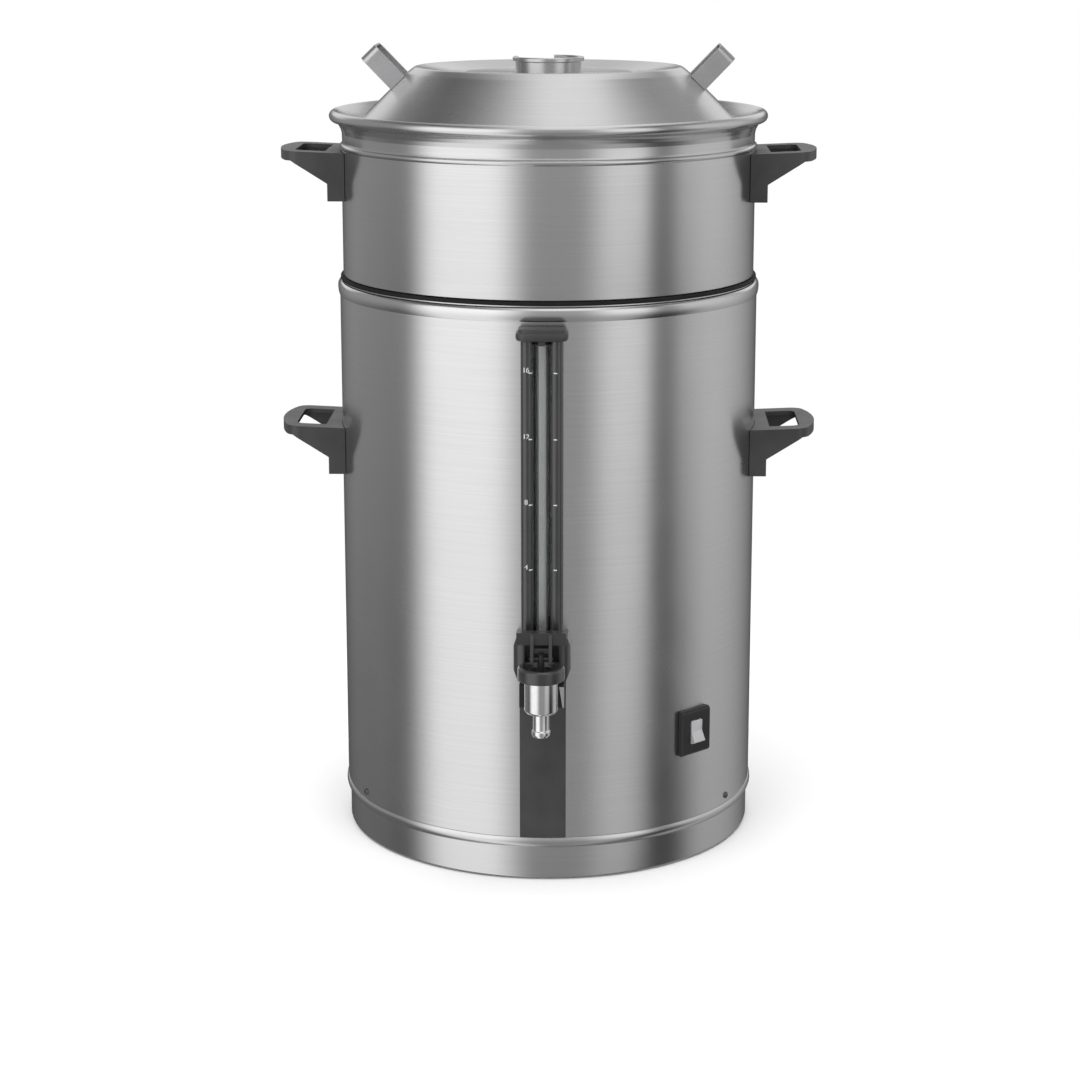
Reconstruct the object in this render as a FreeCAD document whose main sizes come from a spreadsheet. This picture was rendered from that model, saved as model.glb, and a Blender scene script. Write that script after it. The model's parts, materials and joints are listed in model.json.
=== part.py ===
"""Stacked brew kettle: a double-walled container with a level gauge and tap, a brew pan and a lid.

All sizes are in millimetres. +Z is up, -Y is the front (gauge and tap side), and the origin is the
centre of the footprint on the surface that the kettle stands on.
"""
import FreeCAD, Part
import math
import os
import re
import Sketcher

Vector = FreeCAD.Vector
doc = FreeCAD.newDocument("BrewKettle")

# ---------------------------------------------------------------- driving dimensions
DIMENSIONS = {
    # container shell
    "sheet": 1.0,
    "jacket_radius": 170.0,
    "base_radius": 168.2,
    "floor_gap": 1.5,
    "bead_low": 28.0,
    "bead_high": 36.0,
    "bead_round": 4.6,
    "rim_height": 457.5,
    "collar_drop": 11.0,
    "collar_rise": 1.6,
    "foot_radius": 12.0,
    "foot_circle": 140.0,
    "plinth_lip": 14.0,
    "screw_head_radius": 2.1,
    "screw_head_height": 1.5,
    "wall_grip": 8.0,
    "face_gap": 0.1,
    # brew vessel inside the shell
    "vessel_radius": 158.5,
    "vessel_floor": 208.0,
    "vessel_corner": 1.0,
    "vessel_flange": 0.8,
    "seal_inset": 0.7,
    "wool_gap": 14.0,
    "outlet_back": 140.0,
    "drain_radius": 8.0,
    "elbow_radius": 10.0,
    # heater below the vessel
    "heat_disc_radius": 122.0,
    "heat_disc_height": 4.0,
    "heat_ring_radius": 90.0,
    "heat_tube_radius": 4.0,
    "heat_tail_length": 34.0,
    "clamp_length": 200.0,
    "clamp_width": 22.0,
    "clamp_height": 2.5,
    "clamp_nut_radius": 6.0,
    "clamp_nut_height": 8.0,
    "thermostat_radius": 8.0,
    "thermostat_height": 11.0,
    "thermostat_offset": 45.0,
    "terminal_length": 46.0,
    "terminal_width": 20.0,
    "terminal_height": 17.0,
    "terminal_start": 95.0,
    # tap
    "tap_axis": 212.0,
    "tap_level": 165.0,
    "skirt_radius": 12.8,
    "skirt_low": 153.0,
    "skirt_high": 179.0,
    "bonnet_radius": 17.9,
    "bonnet_high": 189.5,
    "nozzle_radius": 6.0,
    "nozzle_low": 134.0,
    "stem_radius": 2.2,
    "pin_height": 195.0,
    "pin_radius": 1.5,
    "shank_radius": 9.0,
    "shank_start": 174.0,
    "shank_length": 24.0,
    "shank_clearance": 0.3,
    "outlet_bore": 4.5,
    "chamber_radius": 9.0,
    "channel_radius": 6.0,
    "back_block_half": 17.0,
    "shank_nut_radius": 14.0,
    "shank_nut_length": 7.0,
    "cup_radius": 7.0,
    "cup_height": 8.0,
    "cup_gap": 0.2,
    "spring_radius": 5.6,
    "spring_pitch": 2.8,
    "spring_wire": 0.5,
    # tap lever
    "cheek_thickness": 2.4,
    "cheek_outside": 8.2,
    "cheek_boss": 3.2,
    "finger_bar_length": 38.0,
    "finger_bar_depth": 8.0,
    "finger_bar_height": 9.5,
    # level gauge
    "housing_half": 22.2,
    "housing_low": 172.0,
    "housing_high": 206.0,
    "column_half": 16.15,
    "column_front": 191.0,
    "column_high": 435.0,
    "slot_half": 6.1,
    "cap_half": 19.8,
    "cap_high": 445.8,
    "glass_radius": 5.0,
    "glass_wall": 1.2,
    "glass_axis": 183.0,
    "glass_seat": 12.0,
    "strip_half": 18.0,
    "strip_thickness": 1.4,
    # switch and mains inlet
    "switch_turn": 44.0,
    "switch_level": 110.0,
    "switch_half_width": 15.5,
    "switch_half_height": 18.5,
    "rocker_half": 5.9,
    "rocker_reach": 9.6,
    "rocker_tilt": 12.0,
    "rocker_axis": 173.0,
    "inlet_level": 78.0,
    "inlet_flange_width": 32.0,
    "inlet_flange_height": 25.0,
    "inlet_flange_depth": 2.6,
    "inlet_shell_width": 27.0,
    "inlet_shell_height": 20.0,
    "inlet_shell_depth": 26.0,
    "inlet_socket_width": 24.0,
    "inlet_socket_height": 16.0,
    "inlet_socket_depth": 16.0,
    "inlet_pin_length": 15.0,
    # brew pan
    "pan_radius": 167.1,
    "pan_seat": 461.5,
    "pan_floor": 446.0,
    "pan_skirt_radius": 156.5,
    "pan_drain_radius": 9.0,
    "swage_height": 566.6,
    "pan_flare": 580.0,
    "lip_radius": 177.4,
    "lip_high": 593.6,
    # filter basket
    "basket_radius": 150.0,
    "basket_floor": 470.0,
    "basket_rim": 576.0,
    "basket_foot_radius": 128.0,
    "basket_hang": 1.6,
    # lid
    "lid_foot_radius": 160.7,
    "lid_foot": 577.0,
    "lid_shoulder_radius": 113.3,
    "lid_shoulder": 623.0,
    "lid_top_radius": 105.0,
    "lid_top": 628.0,
    "dish_radius": 68.0,
    "dish_floor": 622.4,
    "inlet_neck_radius": 26.5,
    "inlet_lip_radius": 28.7,
    "inlet_high": 634.5,
    "spray_radius": 60.0,
    "spray_drop": 16.0,
    # strap handles on the lid
    "strap_width": 15.5,
    "strap_thickness": 2.0,
    "strap_half_span": 22.0,
    "strap_height": 33.3,
    "strap_foot_radius": 120.4,
    "strap_foot": 616.1,
    "strap_lean": 44.1,
    # moulded side handles
    "handle_reach": 49.2,
    "handle_half": 45.0,
    "handle_skin": 3.0,
    "handle_tip": 8.2,
    "handle_foot": 8.0,
    "handle_drop": 40.5,
    "handle_step": 26.5,
    "handle_corner": 12.0,
    "handle_crown": 110.0,
    "handle_slot_half": 31.0,
    "container_handle_top": 341.0,
    "pan_handle_top": 563.5,
}

dims = doc.addObject("Spreadsheet::Sheet", "Dims")
for row, (alias, value) in enumerate(DIMENSIONS.items(), start=1):
    dims.set(f"A{row}", alias)
    dims.set(f"B{row}", str(value))
    dims.setAlias(f"B{row}", alias)
doc.recompute()


# ---------------------------------------------------------------- helpers
def bind(text):
    """Turn an expression in sheet aliases into one that the document understands."""
    return re.sub(r"[a-z_]+", lambda word: f"Dims.{word.group()}" if word.group() in DIMENSIONS
                  else word.group(), str(text))


def value_of(text):
    return float(dims.evalExpression(bind(text)))


def sketch_on(body, role, name):
    """A sketch attached to one of the body's own origin planes."""
    plane = next(item for item in body.Origin.OriginFeatures if item.Role == role)
    sketch = body.newObject("Sketcher::SketchObject", name)
    sketch.AttachmentSupport = (plane, "")
    sketch.MapMode = "FlatFace"
    return sketch


def arc_between(start, end, radius, side):
    """The minor arc from start to end; side is 1 when it turns left and -1 when it turns right."""
    chord = end - start
    middle = (start + end) * 0.5
    height = math.sqrt(max(radius ** 2 - (chord.Length / 2) ** 2, 0.0))
    across = Vector(-chord.y, chord.x, 0).normalize()
    centre = middle + across * (height * side)
    first, last = (start, end) if side > 0 else (end, start)
    begin = math.atan2(first.y - centre.y, first.x - centre.x)
    finish = math.atan2(last.y - centre.y, last.x - centre.x)
    if finish < begin:
        finish += 2 * math.pi
    return Part.ArcOfCircle(Part.Circle(centre, Vector(0, 0, 1), radius), begin, finish)


def draw_outline(sketch, corners):
    """Draw a closed outline whose corners, and arc radii, are bound to the sheet.

    A corner is (x, y). (x, y, radius, side) makes the edge that leaves it an arc.
    """
    spots = [Vector(value_of(corner[0]), value_of(corner[1]), 0) for corner in corners]
    edges = []
    for index, corner in enumerate(corners):
        start, end = spots[index], spots[(index + 1) % len(spots)]
        if len(corner) == 4:
            shape = arc_between(start, end, value_of(corner[2]), corner[3])
            ends = (1, 2) if corner[3] > 0 else (2, 1)
        else:
            shape = Part.LineSegment(start, end)
            ends = (1, 2)
        edges.append((sketch.addGeometry(shape, False), ends))
    for index, (edge, ends) in enumerate(edges):
        following, following_ends = edges[(index + 1) % len(edges)]
        sketch.addConstraint(Sketcher.Constraint("Coincident", edge, ends[1], following, following_ends[0]))
    for corner, spot, (edge, ends) in zip(corners, spots, edges):
        across = sketch.addConstraint(Sketcher.Constraint("DistanceX", edge, ends[0], spot.x))
        sketch.setExpression(f"Constraints[{across}]", bind(corner[0]))
        along = sketch.addConstraint(Sketcher.Constraint("DistanceY", edge, ends[0], spot.y))
        sketch.setExpression(f"Constraints[{along}]", bind(corner[1]))
        if len(corner) == 4:
            size = sketch.addConstraint(Sketcher.Constraint("Radius", edge, value_of(corner[2])))
            sketch.setExpression(f"Constraints[{size}]", bind(corner[2]))


def lathe(label, corners):
    """A body turned about Z from an outline of (radius, height) corners."""
    body = doc.addObject("PartDesign::Body", label)
    sketch = sketch_on(body, "XZ_Plane", f"{label}_profile")
    draw_outline(sketch, corners)
    turn = body.newObject("PartDesign::Revolution", f"{label}_turn")
    turn.Profile = sketch
    turn.ReferenceAxis = (sketch, ["V_Axis"])
    turn.Angle = 360
    return body


def prism(label, role, corners, length, offset="0"):
    """A body padded from an outline on an origin plane, length long, starting offset along the normal."""
    body = doc.addObject("PartDesign::Body", label)
    sketch = sketch_on(body, role, f"{label}_outline")
    draw_outline(sketch, corners)
    sketch.setExpression("AttachmentOffset.Base.z", bind(offset))
    pad = body.newObject("PartDesign::Pad", f"{label}_pad")
    pad.Profile = sketch
    pad.setExpression("Length", bind(length))
    return body


def place(item, x="0", y="0", z="0"):
    for axis, text in zip("xyz", (x, y, z)):
        item.setExpression(f"Placement.Base.{axis}", bind(text))
    return item


def cylinder(name, radius, height, x="0", y="0", z="0", toward=Vector(0, 0, 1)):
    item = doc.addObject("Part::Cylinder", name)
    item.setExpression("Radius", bind(radius))
    item.setExpression("Height", bind(height))
    item.Placement.Rotation = FreeCAD.Rotation(Vector(0, 0, 1), toward)
    return place(item, x, y, z)


def box(name, length, width, height, x="0", y="0", z="0"):
    item = doc.addObject("Part::Box", name)
    item.setExpression("Length", bind(length))
    item.setExpression("Width", bind(width))
    item.setExpression("Height", bind(height))
    return place(item, x, y, z)


def fuse(name, items):
    item = doc.addObject("Part::MultiFuse", name)
    item.Shapes = items
    item.Refine = True
    return item


def cut(name, base, tools):
    tool = tools[0] if len(tools) == 1 else fuse(f"{name}_tools", tools)
    item = doc.addObject("Part::Cut", name)
    item.Base = base
    item.Tool = tool
    item.Refine = True
    return item


def common(name, first, second):
    item = doc.addObject("Part::MultiCommon", name)
    item.Shapes = [first, second]
    return item


def group(name, items):
    """Separate solids that share one node."""
    item = doc.addObject("Part::Compound", name)
    item.Links = items
    return item


nodes = []


def node(label, item):
    """Register a finished sub-part under its own label."""
    item.Label = label
    nodes.append(item)
    return item


# ---------------------------------------------------------------- container shell
FRONT = Vector(0, -1, 0)
BACK = Vector(0, 1, 0)


def make_feet():
    feet = []
    for index in range(4):
        angle = 45 + 90 * index
        across = f"foot_circle * cos({angle} deg)"
        along = f"foot_circle * sin({angle} deg)"
        feet.append(cylinder(f"foot_{index}", "foot_radius", "floor_gap + 1.2 * sheet", across, along))
    node("rubber_feet", group("feet", feet))


def make_base_ring():
    """Plinth with an inward lip at the floor and a rolled bead where the jacket stands on it."""
    node("base_ring", lathe("plinth", [
        ("base_radius - plinth_lip", "floor_gap"),
        ("base_radius", "floor_gap"),
        ("base_radius", "bead_low", "bead_round", 1),
        ("jacket_radius + 0.4", "bead_high"),
        ("base_radius - 1.2 * sheet", "bead_high"),
        ("base_radius - 1.2 * sheet", "floor_gap + 1.2 * sheet"),
        ("base_radius - plinth_lip", "floor_gap + 1.2 * sheet"),
    ]))
    node("bottom_plate", cylinder("floor_disc", "base_radius - 1.4 * sheet", "1.2 * sheet",
                                  z="floor_gap + 1.2 * sheet"))


def switch_tool(name, length, width, height, z):
    """A box on the switch's own axis, which is turned round the kettle from the front."""
    item = box(name, length, width, height)
    turn = FreeCAD.Rotation(Vector(0, 0, 1), value_of("switch_turn"))
    item.Placement.Rotation = turn
    corner = f"-({length}) / 2"
    depth = "-(jacket_radius + 3)"
    item.setExpression("Placement.Base.x", bind(f"({corner}) * cos(switch_turn * 1 deg) "
                                                f"- ({depth}) * sin(switch_turn * 1 deg)"))
    item.setExpression("Placement.Base.y", bind(f"({corner}) * sin(switch_turn * 1 deg) "
                                                f"+ ({depth}) * cos(switch_turn * 1 deg)"))
    item.setExpression("Placement.Base.z", bind(z))
    return item


def shank_room(name):
    """The hole that the tap's shank passes through, with its running clearance."""
    return cylinder(name, "shank_radius + shank_clearance", "20", y="-(jacket_radius - 10)",
                    z="tap_level", toward=FRONT)


def make_jacket():
    """Outer jacket with its cut-outs for the tap shank, the switch and the mains inlet."""
    outer = cylinder("jacket_outside", "jacket_radius", "rim_height - sheet - 0.2 - bead_high", z="bead_high")
    inner = cylinder("jacket_inside", "jacket_radius - sheet", "rim_height", z="0")
    shank_hole = shank_room("shank_hole")
    switch_hole = switch_tool("switch_hole", "22.4", "12", "30.4", "switch_level - 15.2")
    socket_hole = box("socket_hole", "27.4", "14", "20.4", "-13.7", "jacket_radius - 10", "inlet_level - 10.2")
    node("jacket", cut("jacket_sheet", outer, [inner, shank_hole, switch_hole, socket_hole]))


def make_rim_collar():
    """Rolled collar that closes the gap between the jacket and the vessel."""
    node("rim_collar", lathe("collar", [
        ("jacket_radius + 0.1", "rim_height - collar_drop"),
        ("jacket_radius + 0.7", "rim_height - collar_drop", "14", 1),
        ("jacket_radius + collar_rise", "rim_height - 3.5", "3.6", 1),
        ("jacket_radius - 1.8", "rim_height"),
        ("vessel_radius + 1.2", "rim_height"),
        ("vessel_radius + 1.2", "rim_height - sheet"),
        ("jacket_radius + 0.1", "rim_height - sheet"),
    ]))


def make_vessel():
    """Inner vessel with a tight corner, a flange that rests on the collar and a drain hole."""
    shell = lathe("vessel_shell", [
        ("0", "vessel_floor - sheet"),
        ("vessel_radius - vessel_corner", "vessel_floor - sheet", "vessel_corner + sheet", 1),
        ("vessel_radius + sheet", "vessel_floor + vessel_corner"),
        ("vessel_radius + sheet", "rim_height"),
        ("jacket_radius - 2", "rim_height"),
        ("jacket_radius - 2", "rim_height + vessel_flange"),
        ("vessel_radius", "rim_height + vessel_flange"),
        ("vessel_radius", "vessel_floor + vessel_corner", "vessel_corner", -1),
        ("vessel_radius - vessel_corner", "vessel_floor"),
        ("0", "vessel_floor"),
    ])
    drain = cylinder("drain_hole", "drain_radius", "10", y="-outlet_back", z="vessel_floor - 5")
    node("inner_vessel", cut("vessel", shell, [drain]))


def make_outlet_elbow():
    """Drain pipe from the vessel floor down and forward to the tap shank."""
    reach = "shank_start - shank_length - face_gap * 2 - outlet_back"
    down = cylinder("drop_outside", "elbow_radius", "vessel_floor - sheet - tap_level", y="-outlet_back",
                    z="tap_level")
    corner = doc.addObject("Part::Sphere", "elbow_outside")
    corner.setExpression("Radius", bind("elbow_radius"))
    place(corner, y="-outlet_back", z="tap_level")
    ahead = cylinder("run_outside", "elbow_radius", reach, y="-outlet_back", z="tap_level", toward=FRONT)
    down_bore = cylinder("drop_bore", "drain_radius", "vessel_floor", y="-outlet_back", z="tap_level")
    corner_bore = doc.addObject("Part::Sphere", "elbow_bore")
    corner_bore.setExpression("Radius", bind("drain_radius"))
    place(corner_bore, y="-outlet_back", z="tap_level")
    ahead_bore = cylinder("run_bore", "drain_radius", "60", y="-outlet_back", z="tap_level", toward=FRONT)
    outside = fuse("elbow_form", [down, corner, ahead])
    node("outlet_elbow", cut("elbow", outside, [down_bore, corner_bore, ahead_bore]))


def make_seals_and_insulation():
    node("rim_seal", lathe("seal", [
        ("vessel_radius + 3", "rim_height + vessel_flange"),
        ("jacket_radius - seal_inset", "rim_height + vessel_flange"),
        ("jacket_radius - seal_inset", "pan_seat - 0.3"),
        ("vessel_radius + 3", "pan_seat - 0.3"),
    ]))
    node("insulation", lathe("wool_sleeve", [
        ("vessel_radius + 1.6 * sheet", "vessel_floor + wool_gap"),
        ("jacket_radius - 6", "vessel_floor + wool_gap"),
        ("jacket_radius - 6", "rim_height - wool_gap"),
        ("vessel_radius + 1.6 * sheet", "rim_height - wool_gap"),
    ]))


# ---------------------------------------------------------------- heater
def make_heater():
    """Heat spreader, tubular element, clamp bar and the two thermostats under the vessel."""
    spreader_low = "vessel_floor - sheet - heat_disc_height"
    node("heat_spreader", cylinder("spreader", "heat_disc_radius", "heat_disc_height", z=spreader_low))
    make_element(spreader_low)
    bar_low = f"{spreader_low} - 2 * heat_tube_radius - clamp_height"
    node("element_clamp", box("clamp_bar", "clamp_length", "clamp_width", "clamp_height",
                              "-clamp_length / 2", "-clamp_width / 2", bar_low))
    node("clamp_nut", cylinder("clamp_stud", "clamp_nut_radius", "clamp_nut_height",
                               z=f"{bar_low} - clamp_nut_height"))
    for label, side in (("thermostat", 1), ("overheat_cutout", -1)):
        node(label, cylinder(f"{label}_can", "thermostat_radius", "thermostat_height",
                             y=f"{side} * thermostat_offset", z=f"{spreader_low} - thermostat_height"))
    node("terminal_block", box("terminals", "terminal_length", "terminal_width", "terminal_height",
                               "-terminal_length / 2", "terminal_start", "floor_gap + 2.4 * sheet"))


def make_element(spreader_low):
    """Tubular element: an almost closed ring, open at the back, with a tail down at each end."""
    half_gap = 15
    ring = doc.addObject("Part::Torus", "element_ring")
    ring.setExpression("Radius1", bind("heat_ring_radius"))
    ring.setExpression("Radius2", bind("heat_tube_radius"))
    ring.Angle3 = 360 - 2 * half_gap
    ring.Placement.Rotation = FreeCAD.Rotation(Vector(0, 0, 1), 90 + half_gap)
    place(ring, z=f"{spreader_low} - heat_tube_radius")
    tails = []
    for side, angle in (("left", 90 + half_gap), ("right", 90 - half_gap)):
        tails.append(cylinder(f"element_tail_{side}", "heat_tube_radius", "heat_tail_length",
                              f"heat_ring_radius * cos({angle} deg)", f"heat_ring_radius * sin({angle} deg)",
                              f"{spreader_low} - heat_tube_radius - heat_tail_length"))
    node("heating_element", fuse("element", [ring] + tails))


# ---------------------------------------------------------------- level gauge and tap
def jacket_core(name):
    """The space inside the jacket's outer face, which keeps front trim off the sheet."""
    return cylinder(name, "jacket_radius + face_gap", "600", z="-20")


def make_front_strip():
    outside = cylinder("strip_outside", "jacket_radius + strip_thickness", "housing_low - bead_high - 0.8",
                       z="bead_high + 0.6")
    ring = cut("strip_ring", outside, [jacket_core("strip_core")])
    width = box("strip_width", "2 * strip_half", "60", "400", "-strip_half", "-(jacket_radius + 30)")
    band = common("strip_band", ring, width)
    node("front_strip", cut("strip", band, [shank_room("strip_shank_hole")]))


def make_gauge_column():
    """Two rounded pillars with a slot between them that shows the glass."""
    pillar_radius = "(column_half - slot_half) / 2 + 0.05"
    shoulder = "-(column_front - (column_half - slot_half) / 2)"
    floor = "-(glass_axis - glass_radius - 1)"
    pillars = prism("column", "XY_Plane", [
        ("-column_half", "-(jacket_radius - wall_grip)"),
        ("-column_half", shoulder, pillar_radius, 1),
        ("-slot_half", shoulder),
        ("-slot_half", floor),
        ("slot_half", floor),
        ("slot_half", shoulder, pillar_radius, 1),
        ("column_half", shoulder),
        ("column_half", "-(jacket_radius - wall_grip)"),
    ], "column_high - housing_high", "housing_high")
    node("gauge_column", cut("column_trimmed", pillars, [jacket_core("column_core")]))


def rounded_block(name, half, front, low, high, corner):
    """A block with rounded front corners, standing against the jacket."""
    return prism(name, "XY_Plane", [
        (f"-({half})", "-(jacket_radius - wall_grip)"),
        (f"-({half})", f"-({front} - {corner})", f"{corner} + 0.01", 1),
        (f"-({half} - {corner})", f"-({front})"),
        (f"{half} - {corner}", f"-({front})", f"{corner} + 0.01", 1),
        (f"{half}", f"-({front} - {corner})"),
        (f"{half}", "-(jacket_radius - wall_grip)"),
    ], f"({high}) - ({low})", low)


def make_gauge_cap():
    block = rounded_block("cap_block", "cap_half", "column_front + 2.5", "column_high", "cap_high", "7")
    socket = cylinder("cap_socket", "glass_radius + 1.0", "8.5", y="-glass_axis", z="column_high - 0.5")
    node("gauge_cap", cut("cap", block, [socket, jacket_core("cap_core")]))


def make_gauge_glass():
    low = "housing_high - glass_seat"
    tall = "column_high + 6 - (housing_high - glass_seat)"
    wall = cylinder("glass_outside", "glass_radius", tall, y="-glass_axis", z=low)
    bore = cylinder("glass_bore", "glass_radius - glass_wall", "600", y="-glass_axis", z="0")
    node("gauge_glass", cut("glass", wall, [bore]))
    seals = []
    for name, start, height in (("top", "column_high - 3", "9"), ("foot", "housing_high - 10", "12")):
        ring = cylinder(f"seal_{name}", "glass_radius + 0.9", height, y="-glass_axis", z=start)
        hole = cylinder(f"seal_{name}_bore", "glass_radius + 0.05", "600", y="-glass_axis", z="0")
        seals.append(cut(f"seal_{name}_ring", ring, [hole]))
    node("gauge_seals", group("glass_seals", seals))


def make_tap_housing():
    """Manifold behind the tap: it takes the glass at the top and leaves a recess for the lever."""
    plan = rounded_block("housing_plan", "housing_half", "196", "housing_low", "housing_high", "9")
    face = prism("housing_face", "XZ_Plane", [
        ("-(housing_half - 4)", "housing_low"),
        ("housing_half - 4", "housing_low"),
        ("housing_half", "housing_low + 9"),
        ("housing_half", "housing_high - 8"),
        ("housing_half - 2.5", "housing_high"),
        ("-(housing_half - 2.5)", "housing_high"),
        ("-housing_half", "housing_high - 8"),
        ("-housing_half", "housing_low + 9"),
    ], "60", "jacket_radius - 20")
    block = common("housing_block", plan, face)
    glass_bore = cylinder("housing_socket", "glass_radius + 1.0", "13", y="-glass_axis",
                          z="housing_high - glass_seat")
    recess = box("lever_recess", "26", "20", "16", "-13", "-210.2", "bonnet_high - 4")
    bonnet_room = cylinder("bonnet_room", "bonnet_radius + 0.6", "bonnet_high + 1 - housing_low + 1",
                           y="-tap_axis", z="housing_low - 1")
    tools = [glass_bore, recess, bonnet_room, shank_room("housing_saddle"), jacket_core("housing_core")]
    node("tap_housing", cut("housing", block, tools))


def make_tap_body():
    """Chromed valve body: a round skirt, a block behind it and a shank through the jacket."""
    skirt = cylinder("skirt", "skirt_radius", "skirt_high - skirt_low", y="-tap_axis", z="skirt_low")
    back = box("body_back", "2 * back_block_half", "tap_axis - jacket_radius - 9.7",
               "housing_low - skirt_low - 1.2", "-back_block_half", "-tap_axis + 8", "skirt_low + 1")
    shank = cylinder("shank", "shank_radius", "shank_length", y="-shank_start", z="tap_level", toward=BACK)
    chamber = cylinder("chamber", "chamber_radius", "40", y="-tap_axis", z="skirt_low + 5")
    outlet = cylinder("outlet", "outlet_bore", "40", y="-tap_axis", z="skirt_low - 5")
    channel = cylinder("channel", "channel_radius", "90", y="-tap_axis", z="tap_level", toward=BACK)
    node("tap_body", cut("valve_body", fuse("body_form", [skirt, back, shank]), [chamber, outlet, channel]))
    nut = cylinder("nut_outside", "shank_nut_radius", "shank_nut_length", y="-(jacket_radius - 1.9)",
                   z="tap_level", toward=BACK)
    nut_bore = cylinder("nut_bore", "shank_radius + 0.05", "30", y="-jacket_radius", z="tap_level",
                        toward=BACK)
    node("shank_nut", cut("nut", nut, [nut_bore]))


def make_nozzle():
    node("tap_nozzle", lathe("nozzle_tube", [
        ("outlet_bore", "nozzle_low"),
        ("nozzle_radius + 0.4", "nozzle_low", "1.4", 1),
        ("nozzle_radius + 0.9", "nozzle_low + 2"),
        ("nozzle_radius + 0.9", "nozzle_low + 4.5"),
        ("nozzle_radius", "nozzle_low + 5.5"),
        ("nozzle_radius", "skirt_low"),
        ("outlet_bore", "skirt_low"),
    ]))
    place(nodes[-1], y="-tap_axis")


def make_bonnet():
    """Round bonnet nut with a dished top that the stem passes through."""
    item = lathe("bonnet", [
        ("stem_radius + 0.1", "skirt_high"),
        ("bonnet_radius - 0.8", "skirt_high"),
        ("bonnet_radius", "skirt_high + 0.8"),
        ("bonnet_radius", "bonnet_high - 1.2"),
        ("bonnet_radius - 1.2", "bonnet_high"),
        ("bonnet_radius - 4", "bonnet_high"),
        ("bonnet_radius - 5", "bonnet_high - 4.5"),
        ("stem_radius + 0.1", "bonnet_high - 4.5"),
    ])
    node("tap_bonnet", place(item, y="-tap_axis"))


def make_valve():
    """Stem, seat cup and cross pin, which rise together when the lever is pulled."""
    rod = cylinder("rod", "stem_radius", "pin_height + 3.5 - (skirt_low + 9)", y="-tap_axis", z="skirt_low + 9")
    pin_hole = cylinder("stem_hole", "pin_radius", "20", "-10", "-tap_axis", "pin_height", Vector(1, 0, 0))
    node("tap_stem", cut("stem", rod, [pin_hole]))
    node("lever_pin", cylinder("pin", "pin_radius", "18.4", "-9.2", "-tap_axis", "pin_height", Vector(1, 0, 0)))
    cup = cylinder("cup_outside", "cup_radius", "cup_height", y="-tap_axis", z="skirt_low + 5 + cup_gap")
    cup_bore = cylinder("cup_bore", "stem_radius", "20", y="-tap_axis", z="skirt_low + 9")
    node("seat_cup", cut("cup", cup, [cup_bore]))


def make_spring():
    """Compression spring that holds the cup on its seat. Its wire has an eight-sided section."""
    start = "skirt_low + 14"
    coil = doc.addObject("Part::Helix", "coil")
    coil.setExpression("Radius", bind("spring_radius"))
    coil.setExpression("Pitch", bind("spring_pitch"))
    coil.setExpression("Height", bind(f"skirt_high - 0.8 - ({start})"))
    place(coil, y="-tap_axis", z=start)
    wire = doc.addObject("Part::RegularPolygon", "wire")
    wire.Polygon = 8
    wire.setExpression("Circumradius", bind("spring_wire"))
    wire.Placement.Rotation = FreeCAD.Rotation(Vector(1, 0, 0), 90)
    place(wire, "spring_radius", "-tap_axis", start)
    sweep = doc.addObject("Part::Sweep", "spring")
    sweep.Sections = [wire]
    sweep.Spine = (coil, ["Edge1"])
    sweep.Solid = True
    sweep.Frenet = True
    node("tap_spring", sweep)


def make_lever():
    """Lever: a finger bar carried by two cheeks, joined by a crossbar, that pivot on the pin."""
    cheeks = []
    for side, start in (("left", "-cheek_outside"), ("right", "cheek_outside - cheek_thickness")):
        cheek = prism(f"cheek_{side}", "YZ_Plane", [
            ("-tap_axis - cheek_boss", "pin_height - 3.6"),
            ("-tap_axis + cheek_boss", "pin_height - 3.6"),
            ("-tap_axis + 13", "pin_height + 9"),
            ("-tap_axis + 13", "pin_height + 18"),
            ("-tap_axis + 4", "pin_height + 18"),
            ("-tap_axis - cheek_boss", "pin_height + 4"),
        ], "cheek_thickness", start)
        cheeks.append(cheek)
    bar = box("finger_bar", "finger_bar_length", "finger_bar_depth", "finger_bar_height",
              "-finger_bar_length / 2", "-tap_axis + 5", "pin_height + 9.5")
    bridge = box("crossbar", "14", "3", "4", "-7", "-tap_axis + 4", "pin_height + 3.2")
    holes = cylinder("lever_hole", "pin_radius + 0.05", "30", "-15", "-tap_axis", "pin_height", Vector(1, 0, 0))
    node("tap_lever", cut("lever", fuse("lever_form", cheeks + [bar, bridge]), [holes]))


# ---------------------------------------------------------------- switch and mains inlet
def on_switch_axis(item):
    """Turn a front-facing item round the kettle's axis to where the switch is."""
    item.Placement.Rotation = FreeCAD.Rotation(Vector(0, 0, 1), value_of("switch_turn"))
    return item


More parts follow.
